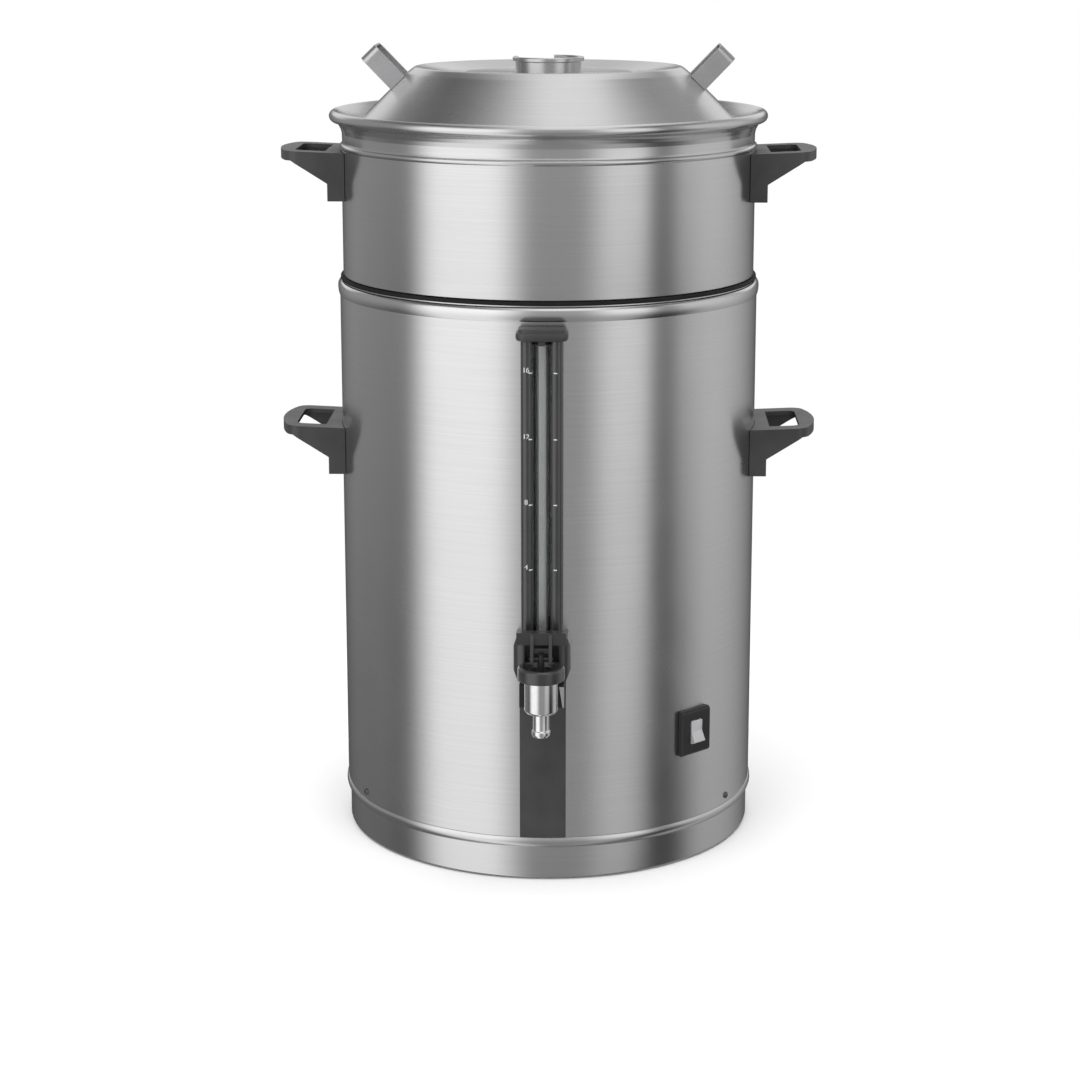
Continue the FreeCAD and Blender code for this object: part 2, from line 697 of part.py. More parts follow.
def make_switch():
    """Rocker switch, drawn facing the front and then turned round the kettle."""
    low = "switch_level - switch_half_height"
    bezel = prism("bezel_block", "YZ_Plane", [
        ("-(jacket_radius - 2)", low),
        ("-(jacket_radius + 3.4)", low),
        ("-(jacket_radius + 4.8)", f"{low} + 1.6"),
        ("-(jacket_radius + 4.8)", f"{low} + 2 * switch_half_height - 1.6"),
        ("-(jacket_radius + 3.4)", f"{low} + 2 * switch_half_height"),
        ("-(jacket_radius - 2)", f"{low} + 2 * switch_half_height"),
    ], "2 * switch_half_width", "-switch_half_width")
    window = box("rocker_window", "2 * rocker_half + 0.6", "30", "2 * rocker_reach + 0.8",
                 "-rocker_half - 0.3", "-(jacket_radius + 20)", "switch_level - rocker_reach - 0.4")
    framed = cut("bezel_frame", bezel, [window, jacket_core("bezel_core")])
    node("switch_bezel", on_switch_axis(framed))

    case = box("case_block", "22", "26", "30", "-11", "-(jacket_radius - 0.6)", "switch_level - 15")
    well = box("case_well", "2 * rocker_half + 0.6", "10", "2 * rocker_reach + 0.8",
               "-rocker_half - 0.3", "-(jacket_radius + 1)", "switch_level - rocker_reach - 0.4")
    node("switch_body", on_switch_axis(cut("case", case, [well])))

    make_rocker()


def make_rocker():
    """Rocker at rest: its top is pressed in, so its lower end stands out of the bezel."""
    rocker = prism("rocker_block", "YZ_Plane", [
        ("-4.6", "-sqrt(rocker_reach ^ 2 - 4.6 ^ 2)", "rocker_reach", 1),
        ("2.6", "-sqrt(rocker_reach ^ 2 - 2.6 ^ 2)"),
        ("2.6", "sqrt(rocker_reach ^ 2 - 2.6 ^ 2)", "rocker_reach", 1),
        ("-4.6", "sqrt(rocker_reach ^ 2 - 4.6 ^ 2)"),
        ("-2.6", "0"),
    ], "2 * rocker_half", "-rocker_half")
    turn = FreeCAD.Rotation(Vector(0, 0, 1), value_of("switch_turn"))
    tilt = FreeCAD.Rotation(Vector(1, 0, 0), -value_of("rocker_tilt"))
    rocker.Placement.Rotation = turn.multiply(tilt)
    place(rocker, "rocker_axis * sin(switch_turn * 1 deg)", "-rocker_axis * cos(switch_turn * 1 deg)",
          "switch_level")
    node("switch_rocker", rocker)


def inlet_block(name, part, depth, start):
    """A block of the mains inlet, centred on its axis: depth long, from start towards the back."""
    return box(name, f"inlet_{part}_width", depth, f"inlet_{part}_height", f"-inlet_{part}_width / 2",
               f"jacket_radius + {start}", f"inlet_level - inlet_{part}_height / 2")


def make_power_inlet():
    """Appliance inlet at the back, a recessed socket with three pins."""
    flange = inlet_block("inlet_flange_block", "flange", "inlet_flange_depth", "face_gap")
    shell = inlet_block("inlet_shell_block", "shell", "inlet_shell_depth", "2 - inlet_shell_depth")
    socket = inlet_block("inlet_socket_space", "socket", "inlet_socket_depth + 3", "0 - inlet_socket_depth")
    node("power_inlet", cut("inlet", fuse("inlet_form", [flange, shell]), [socket]))
    pins = []
    for name, across, height in (("live", "-8", "-1"), ("earth", "-1", "1.5"), ("neutral", "6", "-1")):
        pins.append(box(f"pin_{name}", "2", "inlet_pin_length", "4", across,
                        "jacket_radius - inlet_socket_depth", f"inlet_level + {height} - 2"))
    node("inlet_pins", group("inlet_blades", pins))


# ---------------------------------------------------------------- moulded side handles
def make_handle(label, wall, top, turn):
    """One moulded handle, drawn at +X with its top at height zero, hollow underneath."""
    tip = f"{wall} + handle_reach"
    foot = f"{wall} + handle_foot"
    outside_side = prism(f"{label}_side", "XZ_Plane", [
        (f"{wall} - 16", "-handle_drop"),
        (foot, "-handle_drop"),
        (foot, "-handle_step"),
        (f"{tip} - 12", "-handle_tip"),
        (tip, "-handle_tip"),
        (tip, "0"),
        (f"{wall} - 16", "-2.8"),
    ], "2 * handle_half", "-handle_half")
    outside_plan = handle_plan(f"{label}_plan", wall, "0")
    hollow_side = prism(f"{label}_hollow", "XZ_Plane", [
        (foot, "-handle_drop"),
        (f"{tip} + 5", "-handle_drop"),
        (f"{tip} + 5", "-handle_skin"),
        (foot, "-handle_skin - 2.2"),
    ], "2 * handle_half", "-handle_half")
    hollow_plan = handle_plan(f"{label}_hollow_plan", wall, "handle_skin")
    hollow = common(f"{label}_space", hollow_side, hollow_plan)
    form = common(f"{label}_form", outside_side, outside_plan)
    slot = handle_slot(f"{label}_slot", wall)
    core = cylinder(f"{label}_core", f"{wall} + 0.15", "200", z="-100")
    item = cut(f"{label}_handle", form, [hollow, slot, core])
    item.Placement.Rotation = FreeCAD.Rotation(Vector(0, 0, 1), turn)
    node(label, place(item, z=top))


def handle_plan(name, wall, skin):
    """The handle from above, drawn in by skin: a crowned outer edge that runs into round corners."""
    tip = f"{wall} + handle_reach - {skin}"
    half = f"(handle_half - {skin})"
    crown = f"(handle_crown - {skin})"
    corner = f"(handle_corner - {skin})"
    across = f"({half} - {corner})"
    back = f"sqrt(({crown} - {corner}) ^ 2 - {across} ^ 2)"
    corner_x = f"{tip} - {crown} + {back}"
    touch_x = f"{tip} - {crown} + {crown} * {back} / ({crown} - {corner})"
    touch_y = f"{crown} * {across} / ({crown} - {corner})"
    return prism(name, "XY_Plane", [
        (f"{wall} - 16", f"-{half}"),
        (corner_x, f"-{half}", corner, 1),
        (touch_x, f"-{touch_y}", crown, 1),
        (touch_x, touch_y, corner, 1),
        (corner_x, half),
        (f"{wall} - 16", half),
    ], "handle_drop + 2", "-handle_drop - 1")


def handle_slot(name, wall):
    """Finger slot through the top of the handle."""
    near = f"{wall} + handle_foot + 3"
    far = f"{wall} + handle_reach - 14"
    return prism(name, "XY_Plane", [
        (near, "-handle_slot_half"),
        (f"{far} - 6", "-handle_slot_half", "6.01", 1),
        (far, "-handle_slot_half + 6"),
        (far, "handle_slot_half - 6", "6.01", 1),
        (f"{far} - 6", "handle_slot_half"),
        (near, "handle_slot_half"),
    ], "handle_drop + 2", "-handle_drop - 1")


def make_handle_screws(label, wall, top):
    """Four screw heads inside the wall, two behind each handle."""
    heads = []
    for side, toward in ((-1, Vector(1, 0, 0)), (1, Vector(-1, 0, 0))):
        for across in (-30, 30):
            start = f"{side} * (sqrt(({wall} - sheet) ^ 2 - 34 ^ 2) - 0.1)"
            heads.append(cylinder(f"{label}_{side}_{across}", "4", "2.6", start, str(across), f"{top} - 22",
                                  toward))
    node(label, group(f"{label}_set", heads))


# ---------------------------------------------------------------- brew pan and basket
def make_pan():
    """Brew pan: a skirt that drops into the vessel, a swaged wall and a flared, rolled lip."""
    shell = lathe("pan_shell", [
        ("pan_drain_radius", "pan_floor - 6"),
        ("pan_drain_radius + sheet", "pan_floor - 6"),
        ("pan_drain_radius + sheet", "pan_floor - sheet"),
        ("pan_skirt_radius - 4", "pan_floor - sheet", "4", 1),
        ("pan_skirt_radius", "pan_floor + 3"),
        ("pan_skirt_radius", "pan_seat"),
        ("pan_radius", "pan_seat"),
        ("pan_radius", "swage_height - 2.6", "4", 1),
        ("pan_radius", "swage_height + 2.6"),
        ("pan_radius", "pan_flare - 2", "9", -1),
        ("lip_radius - 5", "pan_flare + 4.2", "5.4", 1),
        ("lip_radius", "pan_flare + 9", "4.8", 1),
        ("lip_radius - 4.6", "lip_high", "6", 1),
        ("lip_radius - 7.4", "lip_high - 2"),
        ("pan_radius - sheet", "pan_flare + 1.4"),
        ("pan_radius - sheet", "pan_seat + sheet"),
        ("pan_skirt_radius - sheet", "pan_seat + sheet"),
        ("pan_skirt_radius - sheet", "pan_floor + 3", "3", -1),
        ("pan_skirt_radius - 4", "pan_floor"),
        ("pan_drain_radius", "pan_floor"),
    ])
    node("brew_pan", shell)
    node("pan_outlet", lathe("restrictor", [
        ("4", "pan_floor - 14"),
        ("7", "pan_floor - 14"),
        ("pan_drain_radius - 0.1", "pan_floor - 6"),
        ("pan_drain_radius - 0.1", "pan_floor + 0.5"),
        ("12", "pan_floor + 0.1"),
        ("12", "pan_floor + 1.5"),
        ("4", "pan_floor + 1.5"),
    ]))


def make_basket():
    """Filter basket: a cup on a foot ring, slotted in its floor, hung level with the lid seat."""
    shell = lathe("basket_shell", [
        ("0", "basket_floor"),
        ("basket_foot_radius", "basket_floor"),
        ("basket_foot_radius", "pan_floor + 0.2"),
        ("basket_foot_radius + 1.2 * sheet", "pan_floor + 0.2"),
        ("basket_foot_radius + 1.2 * sheet", "basket_floor"),
        ("basket_radius", "basket_floor + 8"),
        ("basket_radius", "basket_rim - 1.2 * sheet"),
        ("pan_radius - sheet - basket_hang", "basket_rim - 1.2 * sheet"),
        ("pan_radius - sheet - basket_hang", "basket_rim"),
        ("basket_radius - sheet", "basket_rim"),
        ("basket_radius - sheet", "basket_floor + 8.6"),
        ("basket_foot_radius + 0.8 * sheet", "basket_floor + sheet"),
        ("0", "basket_floor + sheet"),
    ])
    slots = []
    for index in range(12):
        slot = box(f"drain_slot_{index}", "80", "4", "10")
        slot.Placement.Rotation = FreeCAD.Rotation(Vector(0, 0, 1), index * 30)
        place(slot, f"30 * cos({index * 30} deg) + 2 * sin({index * 30} deg)",
              f"30 * sin({index * 30} deg) - 2 * cos({index * 30} deg)", "basket_floor - 4")
        slots.append(slot)
    node("filter_basket", cut("basket", shell, slots))


# ---------------------------------------------------------------- lid
def make_lid():
    """Conical lid with a rounded shoulder, a shallow dished top and an outer resting flange."""
    slope_drop = "1.43 * sheet"
    node("lid_shell", lathe("lid", [
        ("inlet_neck_radius", "dish_floor"),
        ("inlet_neck_radius", "dish_floor + sheet"),
        ("dish_radius - 2", "dish_floor + sheet"),
        ("dish_radius", "dish_floor - 0.4"),
        ("dish_radius + 3", "dish_floor - 0.2"),
        ("lid_top_radius - 4", "lid_top - 0.8", "8", 1),
        ("lid_top_radius + 1", "lid_top", "9", -1),
        ("lid_shoulder_radius", "lid_shoulder"),
        ("lid_foot_radius", "lid_foot"),
        ("pan_radius - sheet - basket_hang", "lid_foot"),
        ("pan_radius - sheet - basket_hang", "lid_foot - sheet + 0.1"),
        ("lid_foot_radius - 0.4", "lid_foot - sheet + 0.1"),
        ("lid_shoulder_radius - 0.4", f"lid_shoulder - {slope_drop} + 0.2"),
        ("lid_top_radius", "lid_top - 1.6 * sheet"),
        ("lid_top_radius - 4", "lid_top - 2.1 * sheet"),
        ("dish_radius + 3", "dish_floor - 1.3"),
        ("dish_radius - 1.4", "dish_floor - 1.3"),
        ("dish_radius - 2.6", "dish_floor"),
    ]))
    neck = lathe("inlet_neck", [
        ("inlet_neck_radius - sheet", "dish_floor - 2"),
        ("inlet_neck_radius", "dish_floor - 2"),
        ("inlet_neck_radius", "inlet_high - 3.2"),
        ("inlet_lip_radius", "inlet_high - 2.4"),
        ("inlet_lip_radius", "inlet_high", "2", 1),
        ("inlet_neck_radius - sheet", "inlet_high"),
    ])
    notch = box("spout_notch", "34", "40", "12", "-30", "8", "inlet_high - 7")
    node("water_inlet", cut("inlet_collar", neck, [notch]))


def make_spreader():
    """Spray plate that hangs under the inlet on three posts."""
    plate = cylinder("plate", "spray_radius", "sheet", z="dish_floor - spray_drop")
    holes = []
    for index in range(10):
        angle = 36 * index
        holes.append(cylinder(f"spray_{index}", "3", "8", f"44 * cos({angle} deg)", f"44 * sin({angle} deg)",
                              "dish_floor - 20"))
    posts = []
    for index in range(3):
        angle = 90 + 120 * index
        posts.append(cylinder(f"post_{index}", "2", "15.1", f"34 * cos({angle} deg)", f"34 * sin({angle} deg)",
                              "dish_floor - 15.1"))
    node("spray_plate", fuse("spreader", [cut("plate_drilled", plate, holes)] + posts))


def make_strap(label, turn):
    """U-shaped strap standing square to the lid's cone."""
    inner = "strap_half_span - strap_thickness"
    strap = prism(f"{label}_strap", "YZ_Plane", [
        ("-strap_half_span", "-1.3"),
        (f"-({inner})", "-1.3"),
        (f"-({inner})", "strap_height - 6", "4.01", -1),
        (f"-({inner} - 4)", "strap_height - strap_thickness"),
        (f"{inner} - 4", "strap_height - strap_thickness", "4.01", -1),
        (inner, "strap_height - 6"),
        (inner, "-1.3"),
        ("strap_half_span", "-1.3"),
        ("strap_half_span", "strap_height - 6", "6.01", 1),
        ("strap_half_span - 6", "strap_height"),
        ("-(strap_half_span - 6)", "strap_height", "6.01", 1),
        ("-strap_half_span", "strap_height - 6"),
    ], "strap_width", "-strap_width / 2")
    lean = FreeCAD.Rotation(Vector(0, 1, 0), value_of("strap_lean"))
    around = FreeCAD.Rotation(Vector(0, 0, 1), turn)
    strap.Placement.Rotation = around.multiply(lean)
    node(label, place(strap, f"strap_foot_radius * cos({turn} deg)", f"strap_foot_radius * sin({turn} deg)",
                      "strap_foot"))


# ---------------------------------------------------------------- small fasteners
def make_base_screws():
    """Domed screws through the jacket's lower edge, two at the front and two at the back."""
    screws = []
    for angle in (30, 150, 210, 330):
        toward = Vector(math.cos(math.radians(angle)), math.sin(math.radians(angle)), 0)
        across = f"(jacket_radius + 0.05) * cos({angle} deg)"
        along = f"(jacket_radius + 0.05) * sin({angle} deg)"
        screws.append(cylinder(f"screw_{angle}", "screw_head_radius", "screw_head_height", across, along,
                               "bead_high + 6", toward))
    node("base_screws", group("plinth_screws", screws))


# ---------------------------------------------------------------- build, check and write
def build():
    make_feet()
    make_base_ring()
    make_jacket()
    make_rim_collar()
    make_vessel()
    make_outlet_elbow()
    make_seals_and_insulation()
    make_heater()
    make_front_strip()
    make_gauge_column()
    make_gauge_cap()
    make_gauge_glass()
    make_tap_housing()
    make_tap_body()
    make_nozzle()
    make_bonnet()
    make_valve()
    make_spring()
    make_lever()
    make_switch()
    make_power_inlet()
    make_base_screws()
    for label, turn in (("container_handle_right", 0), ("container_handle_left", 180)):
        make_handle(label, "jacket_radius", "container_handle_top", turn)
    for label, turn in (("pan_handle_right", 0), ("pan_handle_left", 180)):
        make_handle(label, "pan_radius", "pan_handle_top", turn)
    make_handle_screws("container_handle_screws", "jacket_radius", "container_handle_top")
    make_handle_screws("pan_handle_screws", "pan_radius", "pan_handle_top")
    make_pan()
    make_basket()
    make_lid()
    make_spreader()
    make_strap("lid_strap_right", 0)
    make_strap("lid_strap_left", 180)


def check():
    """Stop before writing anything if an object failed or a sub-part isn't a sound solid."""
    for item in doc.Objects:
        if "Invalid" in item.State or "Error" in item.State:
            raise RuntimeError(f"{item.Name} failed: {item.State}")
    for item in nodes:
        if item.Shape.isNull() or not item.Shape.isValid() or not item.Shape.Solids:
            raise RuntimeError(f"{item.Label} is not a sound solid")


def write():
    os.makedirs("parts", exist_ok=True)
    for item in nodes:
        item.Shape.exportStep(f"parts/{item.Label}.step")
        print(f"{item.Label:26s} solids {len(item.Shape.Solids)} volume {item.Shape.Volume:12.1f}")


build()
doc.recompute()
check()
write()
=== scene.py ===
import itertools
import json
import math

import bmesh
import bpy
from mathutils import Matrix, Vector


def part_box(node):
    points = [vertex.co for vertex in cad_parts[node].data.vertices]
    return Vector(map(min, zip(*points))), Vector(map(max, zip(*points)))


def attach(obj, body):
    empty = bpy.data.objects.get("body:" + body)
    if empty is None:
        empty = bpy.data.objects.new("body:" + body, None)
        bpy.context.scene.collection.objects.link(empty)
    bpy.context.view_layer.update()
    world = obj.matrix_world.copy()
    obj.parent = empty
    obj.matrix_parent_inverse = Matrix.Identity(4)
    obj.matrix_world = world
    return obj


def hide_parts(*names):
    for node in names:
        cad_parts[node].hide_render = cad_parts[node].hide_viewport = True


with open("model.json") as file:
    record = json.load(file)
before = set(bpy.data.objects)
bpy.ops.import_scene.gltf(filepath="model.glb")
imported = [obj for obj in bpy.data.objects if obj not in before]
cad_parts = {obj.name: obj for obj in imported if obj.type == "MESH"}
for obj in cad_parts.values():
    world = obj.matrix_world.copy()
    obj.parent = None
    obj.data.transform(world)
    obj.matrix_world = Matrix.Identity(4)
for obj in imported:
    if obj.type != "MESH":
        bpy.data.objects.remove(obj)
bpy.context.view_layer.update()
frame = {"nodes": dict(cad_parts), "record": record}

MM = 0.001
FIRST_MARK = 259.0   # height of the gauge's lowest mark
MARK_GAP = 50.67     # height of 4 litres in the vessel
SLOT_OF = {row["node"]: row["material_slot"] for row in frame["record"]["subparts"]}
BODY_OF = {node: body for body, nodes in frame["record"]["behaviour"]["bodies"].items() for node in nodes}


class Extent:
    """The box of a CAD node at rest. A node that is round about Z has its radius in x1."""

    def __init__(self, node):
        low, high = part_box(node)
        self.x0, self.y0, self.z0 = (value / MM for value in low)
        self.x1, self.y1, self.z1 = (value / MM for value in high)

    @property
    def middle(self):
        return Vector(((self.x0 + self.x1) / 2, (self.y0 + self.y1) / 2, (self.z0 + self.z1) / 2))


# ---------------------------------------------------------------- materials
def start_material(name, colour, metallic, roughness):
    material = bpy.data.materials.new(name)
    material.use_nodes = True
    tree = material.node_tree
    tree.nodes.clear()
    output = tree.nodes.new("ShaderNodeOutputMaterial")
    shader = tree.nodes.new("ShaderNodeBsdfPrincipled")
    shader.inputs["Base Color"].default_value = (*colour, 1.0)
    shader.inputs["Metallic"].default_value = metallic
    shader.inputs["Roughness"].default_value = roughness
    tree.links.new(shader.outputs["BSDF"], output.inputs["Surface"])
    return material, tree, shader


def feed(shader, socket, value):
    shader.id_data.links.new(value, shader.inputs[socket])


def spot_on_surface(tree, across, along):
    """Object coordinates drawn out round the kettle's axis, so that noise on them makes brushed rings."""
    place = tree.nodes.new("ShaderNodeTexCoord")
    split = tree.nodes.new("ShaderNodeSeparateXYZ")
    flat = tree.nodes.new("ShaderNodeCombineXYZ")
    radius = tree.nodes.new("ShaderNodeVectorMath")
    radius.operation = "LENGTH"
    rise = tree.nodes.new("ShaderNodeMath")
    rise.operation = "MULTIPLY_ADD"
    rise.inputs[1].default_value = 2.0
    joined = tree.nodes.new("ShaderNodeCombineXYZ")
    stretch = tree.nodes.new("ShaderNodeMapping")
    stretch.inputs["Scale"].default_value = (along, along, across)
    tree.links.new(place.outputs["Object"], split.inputs[0])
    tree.links.new(split.outputs["X"], flat.inputs["X"])
    tree.links.new(split.outputs["Y"], flat.inputs["Y"])
    tree.links.new(flat.outputs[0], radius.inputs[0])
    tree.links.new(radius.outputs["Value"], rise.inputs[0])
    tree.links.new(split.outputs["Z"], rise.inputs[2])
    tree.links.new(split.outputs["X"], joined.inputs["X"])
    tree.links.new(split.outputs["Y"], joined.inputs["Y"])
    tree.links.new(rise.outputs[0], joined.inputs["Z"])
    tree.links.new(joined.outputs[0], stretch.inputs["Vector"])
    return stretch.outputs["Vector"]


def noise(tree, scale, detail=3.0, vector=None):
    texture = tree.nodes.new("ShaderNodeTexNoise")
    texture.inputs["Scale"].default_value = scale
    texture.inputs["Detail"].default_value = detail
    if vector is None:
        vector = tree.nodes.new("ShaderNodeTexCoord").outputs["Object"]
    tree.links.new(vector, texture.inputs["Vector"])
    return texture.outputs["Fac"]


def spread(tree, value, low, high):
    """Maps the middle of a noise onto low to high."""
    spreader = tree.nodes.new("ShaderNodeMapRange")
    spreader.inputs["From Min"].default_value = 0.3
    spreader.inputs["From Max"].default_value = 0.7
    spreader.inputs["To Min"].default_value = low
    spreader.inputs["To Max"].default_value = high
    tree.links.new(value, spreader.inputs["Value"])
    return spreader.outputs["Result"]


def tint(tree, value, dark, light):
    """A colour that runs from dark to light with a noise."""
    ramp = tree.nodes.new("ShaderNodeValToRGB")
    ramp.color_ramp.elements[0].position = 0.3
    ramp.color_ramp.elements[0].color = (*dark, 1.0)
    ramp.color_ramp.elements[1].position = 0.7
    ramp.color_ramp.elements[1].color = (*light, 1.0)
    tree.links.new(value, ramp.inputs["Fac"])
    return ramp.outputs["Color"]


def bump(tree, shader, value, depth_mm, strength=1.0):
    node = tree.nodes.new("ShaderNodeBump")
    node.inputs["Distance"].default_value = depth_mm * MM
    node.inputs["Strength"].default_value = strength
    tree.links.new(value, node.inputs["Height"])
    tree.links.new(node.outputs["Normal"], shader.inputs["Normal"])


def scaled(colour, factor):
    return tuple(min(1.0, channel * factor) for channel in colour)


def brushed_steel(name, colour, roughness, grain=1300.0, anisotropy=0.8, depth=0.006):
    """Sheet steel brushed round the kettle, with smudges from handling."""
    material, tree, shader = start_material(name, colour, 1.0, roughness)
    lines = noise(tree, 1.0, 4.0, spot_on_surface(tree, grain, 9.0))
    smudges = noise(tree, 14.0, 4.0)
    feed(shader, "Base Color", tint(tree, lines, scaled(colour, 0.975), scaled(colour, 1.025)))
    feed(shader, "Roughness", spread(tree, smudges, roughness - 0.025, roughness + 0.035))
    bump(tree, shader, lines, depth)
    tangent = tree.nodes.new("ShaderNodeTangent")
    tangent.direction_type = "RADIAL"
    tangent.axis = "Z"
    tree.links.new(tangent.outputs["Tangent"], shader.inputs["Tangent"])
    shader.inputs["Anisotropic"].default_value = anisotropy
    shader.inputs["Anisotropic Rotation"].default_value = 0.25
    return material


def bar_steel(name, colour, roughness):
    """Flat bar with a short fine grain and no set direction."""
    material, tree, shader = start_material(name, colour, 1.0, roughness)
    grain = noise(tree, 900.0, 5.0)
    feed(shader, "Base Color", tint(tree, grain, scaled(colour, 0.9), scaled(colour, 1.06)))
    feed(shader, "Roughness", spread(tree, noise(tree, 60.0), roughness - 0.05, roughness + 0.07))
    bump(tree, shader, grain, 0.01)
    return material


def bright_metal(name, colour, roughness):
    """Plated or turned metal, nearly mirror bright, with faint ripples."""
    material, tree, shader = start_material(name, colour, 1.0, roughness)
    ripple = noise(tree, 220.0, 2.0)
    feed(shader, "Base Color", tint(tree, ripple, scaled(colour, 0.96), scaled(colour, 1.03)))
    feed(shader, "Roughness", spread(tree, noise(tree, 90.0), roughness, roughness + 0.05))
    bump(tree, shader, ripple, 0.02, 0.5)
    return material


def moulded(name, colour, roughness, grain_size=1500.0, depth=0.03, coat=0.0):
    """Moulded plastic with a fine spark-eroded grain and slightly rubbed high spots."""
    material, tree, shader = start_material(name, colour, 0.0, roughness)
    grain = noise(tree, grain_size, 2.0)
    patches = noise(tree, 35.0, 4.0)
    feed(shader, "Base Color", tint(tree, patches, scaled(colour, 0.85), scaled(colour, 1.25)))
    feed(shader, "Roughness", spread(tree, patches, roughness - 0.05, roughness + 0.06))
    shader.inputs["Coat Weight"].default_value = coat
    shader.inputs["Coat Roughness"].default_value = 0.12
    bump(tree, shader, grain, depth)
    return material


def soft_rubber(name, colour, roughness):
    material, tree, shader = start_material(name, colour, 0.0, roughness)
    bloom = noise(tree, 60.0, 5.0)
    feed(shader, "Base Color", tint(tree, bloom, scaled(colour, 0.8), scaled(colour, 1.5)))
    shader.inputs["Specular IOR Level"].default_value = 0.35
    bump(tree, shader, noise(tree, 1100.0, 3.0), 0.03)
    return material


def clear_tube(name, colour, roughness):
    """Clear tube wall. A faint haze keeps it from looking like an empty gap."""
    material, tree, shader = start_material(name, colour, 0.0, roughness)
    haze = noise(tree, 120.0, 3.0)
    feed(shader, "Roughness", spread(tree, haze, roughness, roughness + 0.05))
    feed(shader, "Base Color", tint(tree, haze, scaled(colour, 0.98), colour))
    shader.inputs["Transmission Weight"].default_value = 0.95
    shader.inputs["IOR"].default_value = 1.47
    bump(tree, shader, haze, 0.01)
    return material


def fibre(name, colour, roughness):
    material, tree, shader = start_material(name, colour, 0.0, roughness)
    tufts = noise(tree, 260.0, 6.0)
    feed(shader, "Base Color", tint(tree, tufts, scaled(colour, 0.75), scaled(colour, 1.1)))
    bump(tree, shader, tufts, 0.8)
    return material


def printed(name, colour, roughness):
    """Pad-printed ink with slightly uneven cover."""
    material, tree, shader = start_material(name, colour, 0.0, roughness)
    cover = noise(tree, 2200.0, 3.0)
    feed(shader, "Base Color", tint(tree, cover, scaled(colour, 0.8), colour))
    bump(tree, shader, cover, 0.01)
    return material


MATERIALS = {
    "brushed_shell": brushed_steel("brushed_shell", (0.62, 0.62, 0.62), 0.25),
    "polished_rim": brushed_steel("polished_rim", (0.66, 0.66, 0.66), 0.20, 600.0, 0.6),
    "inner_steel": brushed_steel("inner_steel", (0.60, 0.60, 0.60), 0.30, 500.0, 0.5),
    "lid_steel": brushed_steel("lid_steel", (0.60, 0.60, 0.60), 0.27, 700.0, 0.7),
    "strap_steel": bar_steel("strap_steel", (0.56, 0.56, 0.57), 0.34),
    "galvanised_plate": bar_steel("galvanised_plate", (0.42, 0.43, 0.44), 0.5),
    "heater_plate": bar_steel("heater_plate", (0.66, 0.66, 0.66), 0.5),
    "heater_tube": bar_steel("heater_tube", (0.34, 0.31, 0.28), 0.4),
    "wool": fibre("wool", (0.62, 0.58, 0.46), 0.95),
    "rubber_black": soft_rubber("rubber_black", (0.018, 0.018, 0.019), 0.75),
    "silicone_black": soft_rubber("silicone_black", (0.004, 0.004, 0.004), 0.7),
    "handle_plastic": moulded("handle_plastic", (0.036, 0.036, 0.037), 0.42, coat=0.05),
    "tap_plastic": moulded("tap_plastic", (0.024, 0.024, 0.025), 0.30, 900.0, 0.008, 0.7),
    "gauge_glass": clear_tube("gauge_glass", (0.96, 0.97, 0.97), 0.03),
    "tap_chrome": bright_metal("tap_chrome", (0.80, 0.80, 0.80), 0.08),
    "brass_nut": bright_metal("brass_nut", (0.70, 0.52, 0.22), 0.25),
    "rocker_plastic": moulded("rocker_plastic", (0.38, 0.38, 0.39), 0.28, 1200.0, 0.01, 0.3),
    "contact_metal": bright_metal("contact_metal", (0.75, 0.66, 0.42), 0.2),
    "ceramic": moulded("ceramic", (0.72, 0.69, 0.62), 0.6, 700.0, 0.05),
    "screw_steel": bright_metal("screw_steel", (0.62, 0.62, 0.62), 0.16),
}
INK = printed("gauge_ink", (0.78, 0.78, 0.76), 0.5)
BACKING = printed("gauge_backing", (0.95, 0.95, 0.95), 0.45)
# Near-black, flat and not metal: painted shade for the tap stem and lever pin in the recess between the
# lever's ribs.
RECESS_PAINTED_SHADE = moulded("recess_painted_shade", (0.012, 0.012, 0.013), 0.45, 900.0, 0.01)
# Deep black: the switch frame's own colour, and painted shade on the block behind the tap skirt.
DEEP_BLACK_AND_PAINTED_SHADE = moulded("deep_black_plastic_and_painted_shade", (0.010, 0.010, 0.011), 0.38, 1200.0, 0.02)
# Darkened screw steel: painted shade that keeps the screw heads as dark dots without bright glints.
SCREW_PAINTED_SHADE = bar_steel("screw_painted_shade", (0.16, 0.16, 0.17), 0.4)


# ---------------------------------------------------------------- mesh tools
def rounded(outline, steps=5):
    """The points of a closed outline. A corner (x, y, radius) is turned into an arc."""
    points = []
    for index, corner in enumerate(outline):
        here = Vector(corner[:2])
        if len(corner) == 2:
            points.append(here)
            continue
        before = Vector(outline[index - 1][:2]) - here
        after = Vector(outline[(index + 1) % len(outline)][:2]) - here
        half = before.angle(after) / 2
        reach = min(corner[2] / math.tan(half), 0.48 * before.length, 0.48 * after.length)
        radius = reach * math.tan(half)
        centre = here + (before.normalized() + after.normalized()).normalized() * (radius / math.sin(half))
        first = here + before.normalized() * reach - centre
        last = here + after.normalized() * reach - centre
        turn = math.atan2(first.x * last.y - first.y * last.x, first.dot(last))
        for step in range(steps + 1):
            angle = turn * step / steps
            points.append(centre + Matrix.Rotation(angle, 2) @ first)
    return points


def bow(start, end, bulge, steps=8):
    """Points strictly between start and end on an arc.

    It bulges to the right of the way from start to end, or to the left if bulge is negative.
    """
    start, end = Vector(start), Vector(end)
    chord = end - start
    radius = (chord.length ** 2 / 4 + bulge ** 2) / (2 * abs(bulge))
    side = Vector((chord.y, -chord.x)).normalized() * math.copysign(1, bulge)
    centre = (start + end) / 2 - side * (radius - abs(bulge))
    first, last = start - centre, end - centre
    turn = math.atan2(first.x * last.y - first.y * last.x, first.dot(last))
    return [tuple(centre + Matrix.Rotation(turn * step / steps, 2) @ first) for step in range(1, steps)]


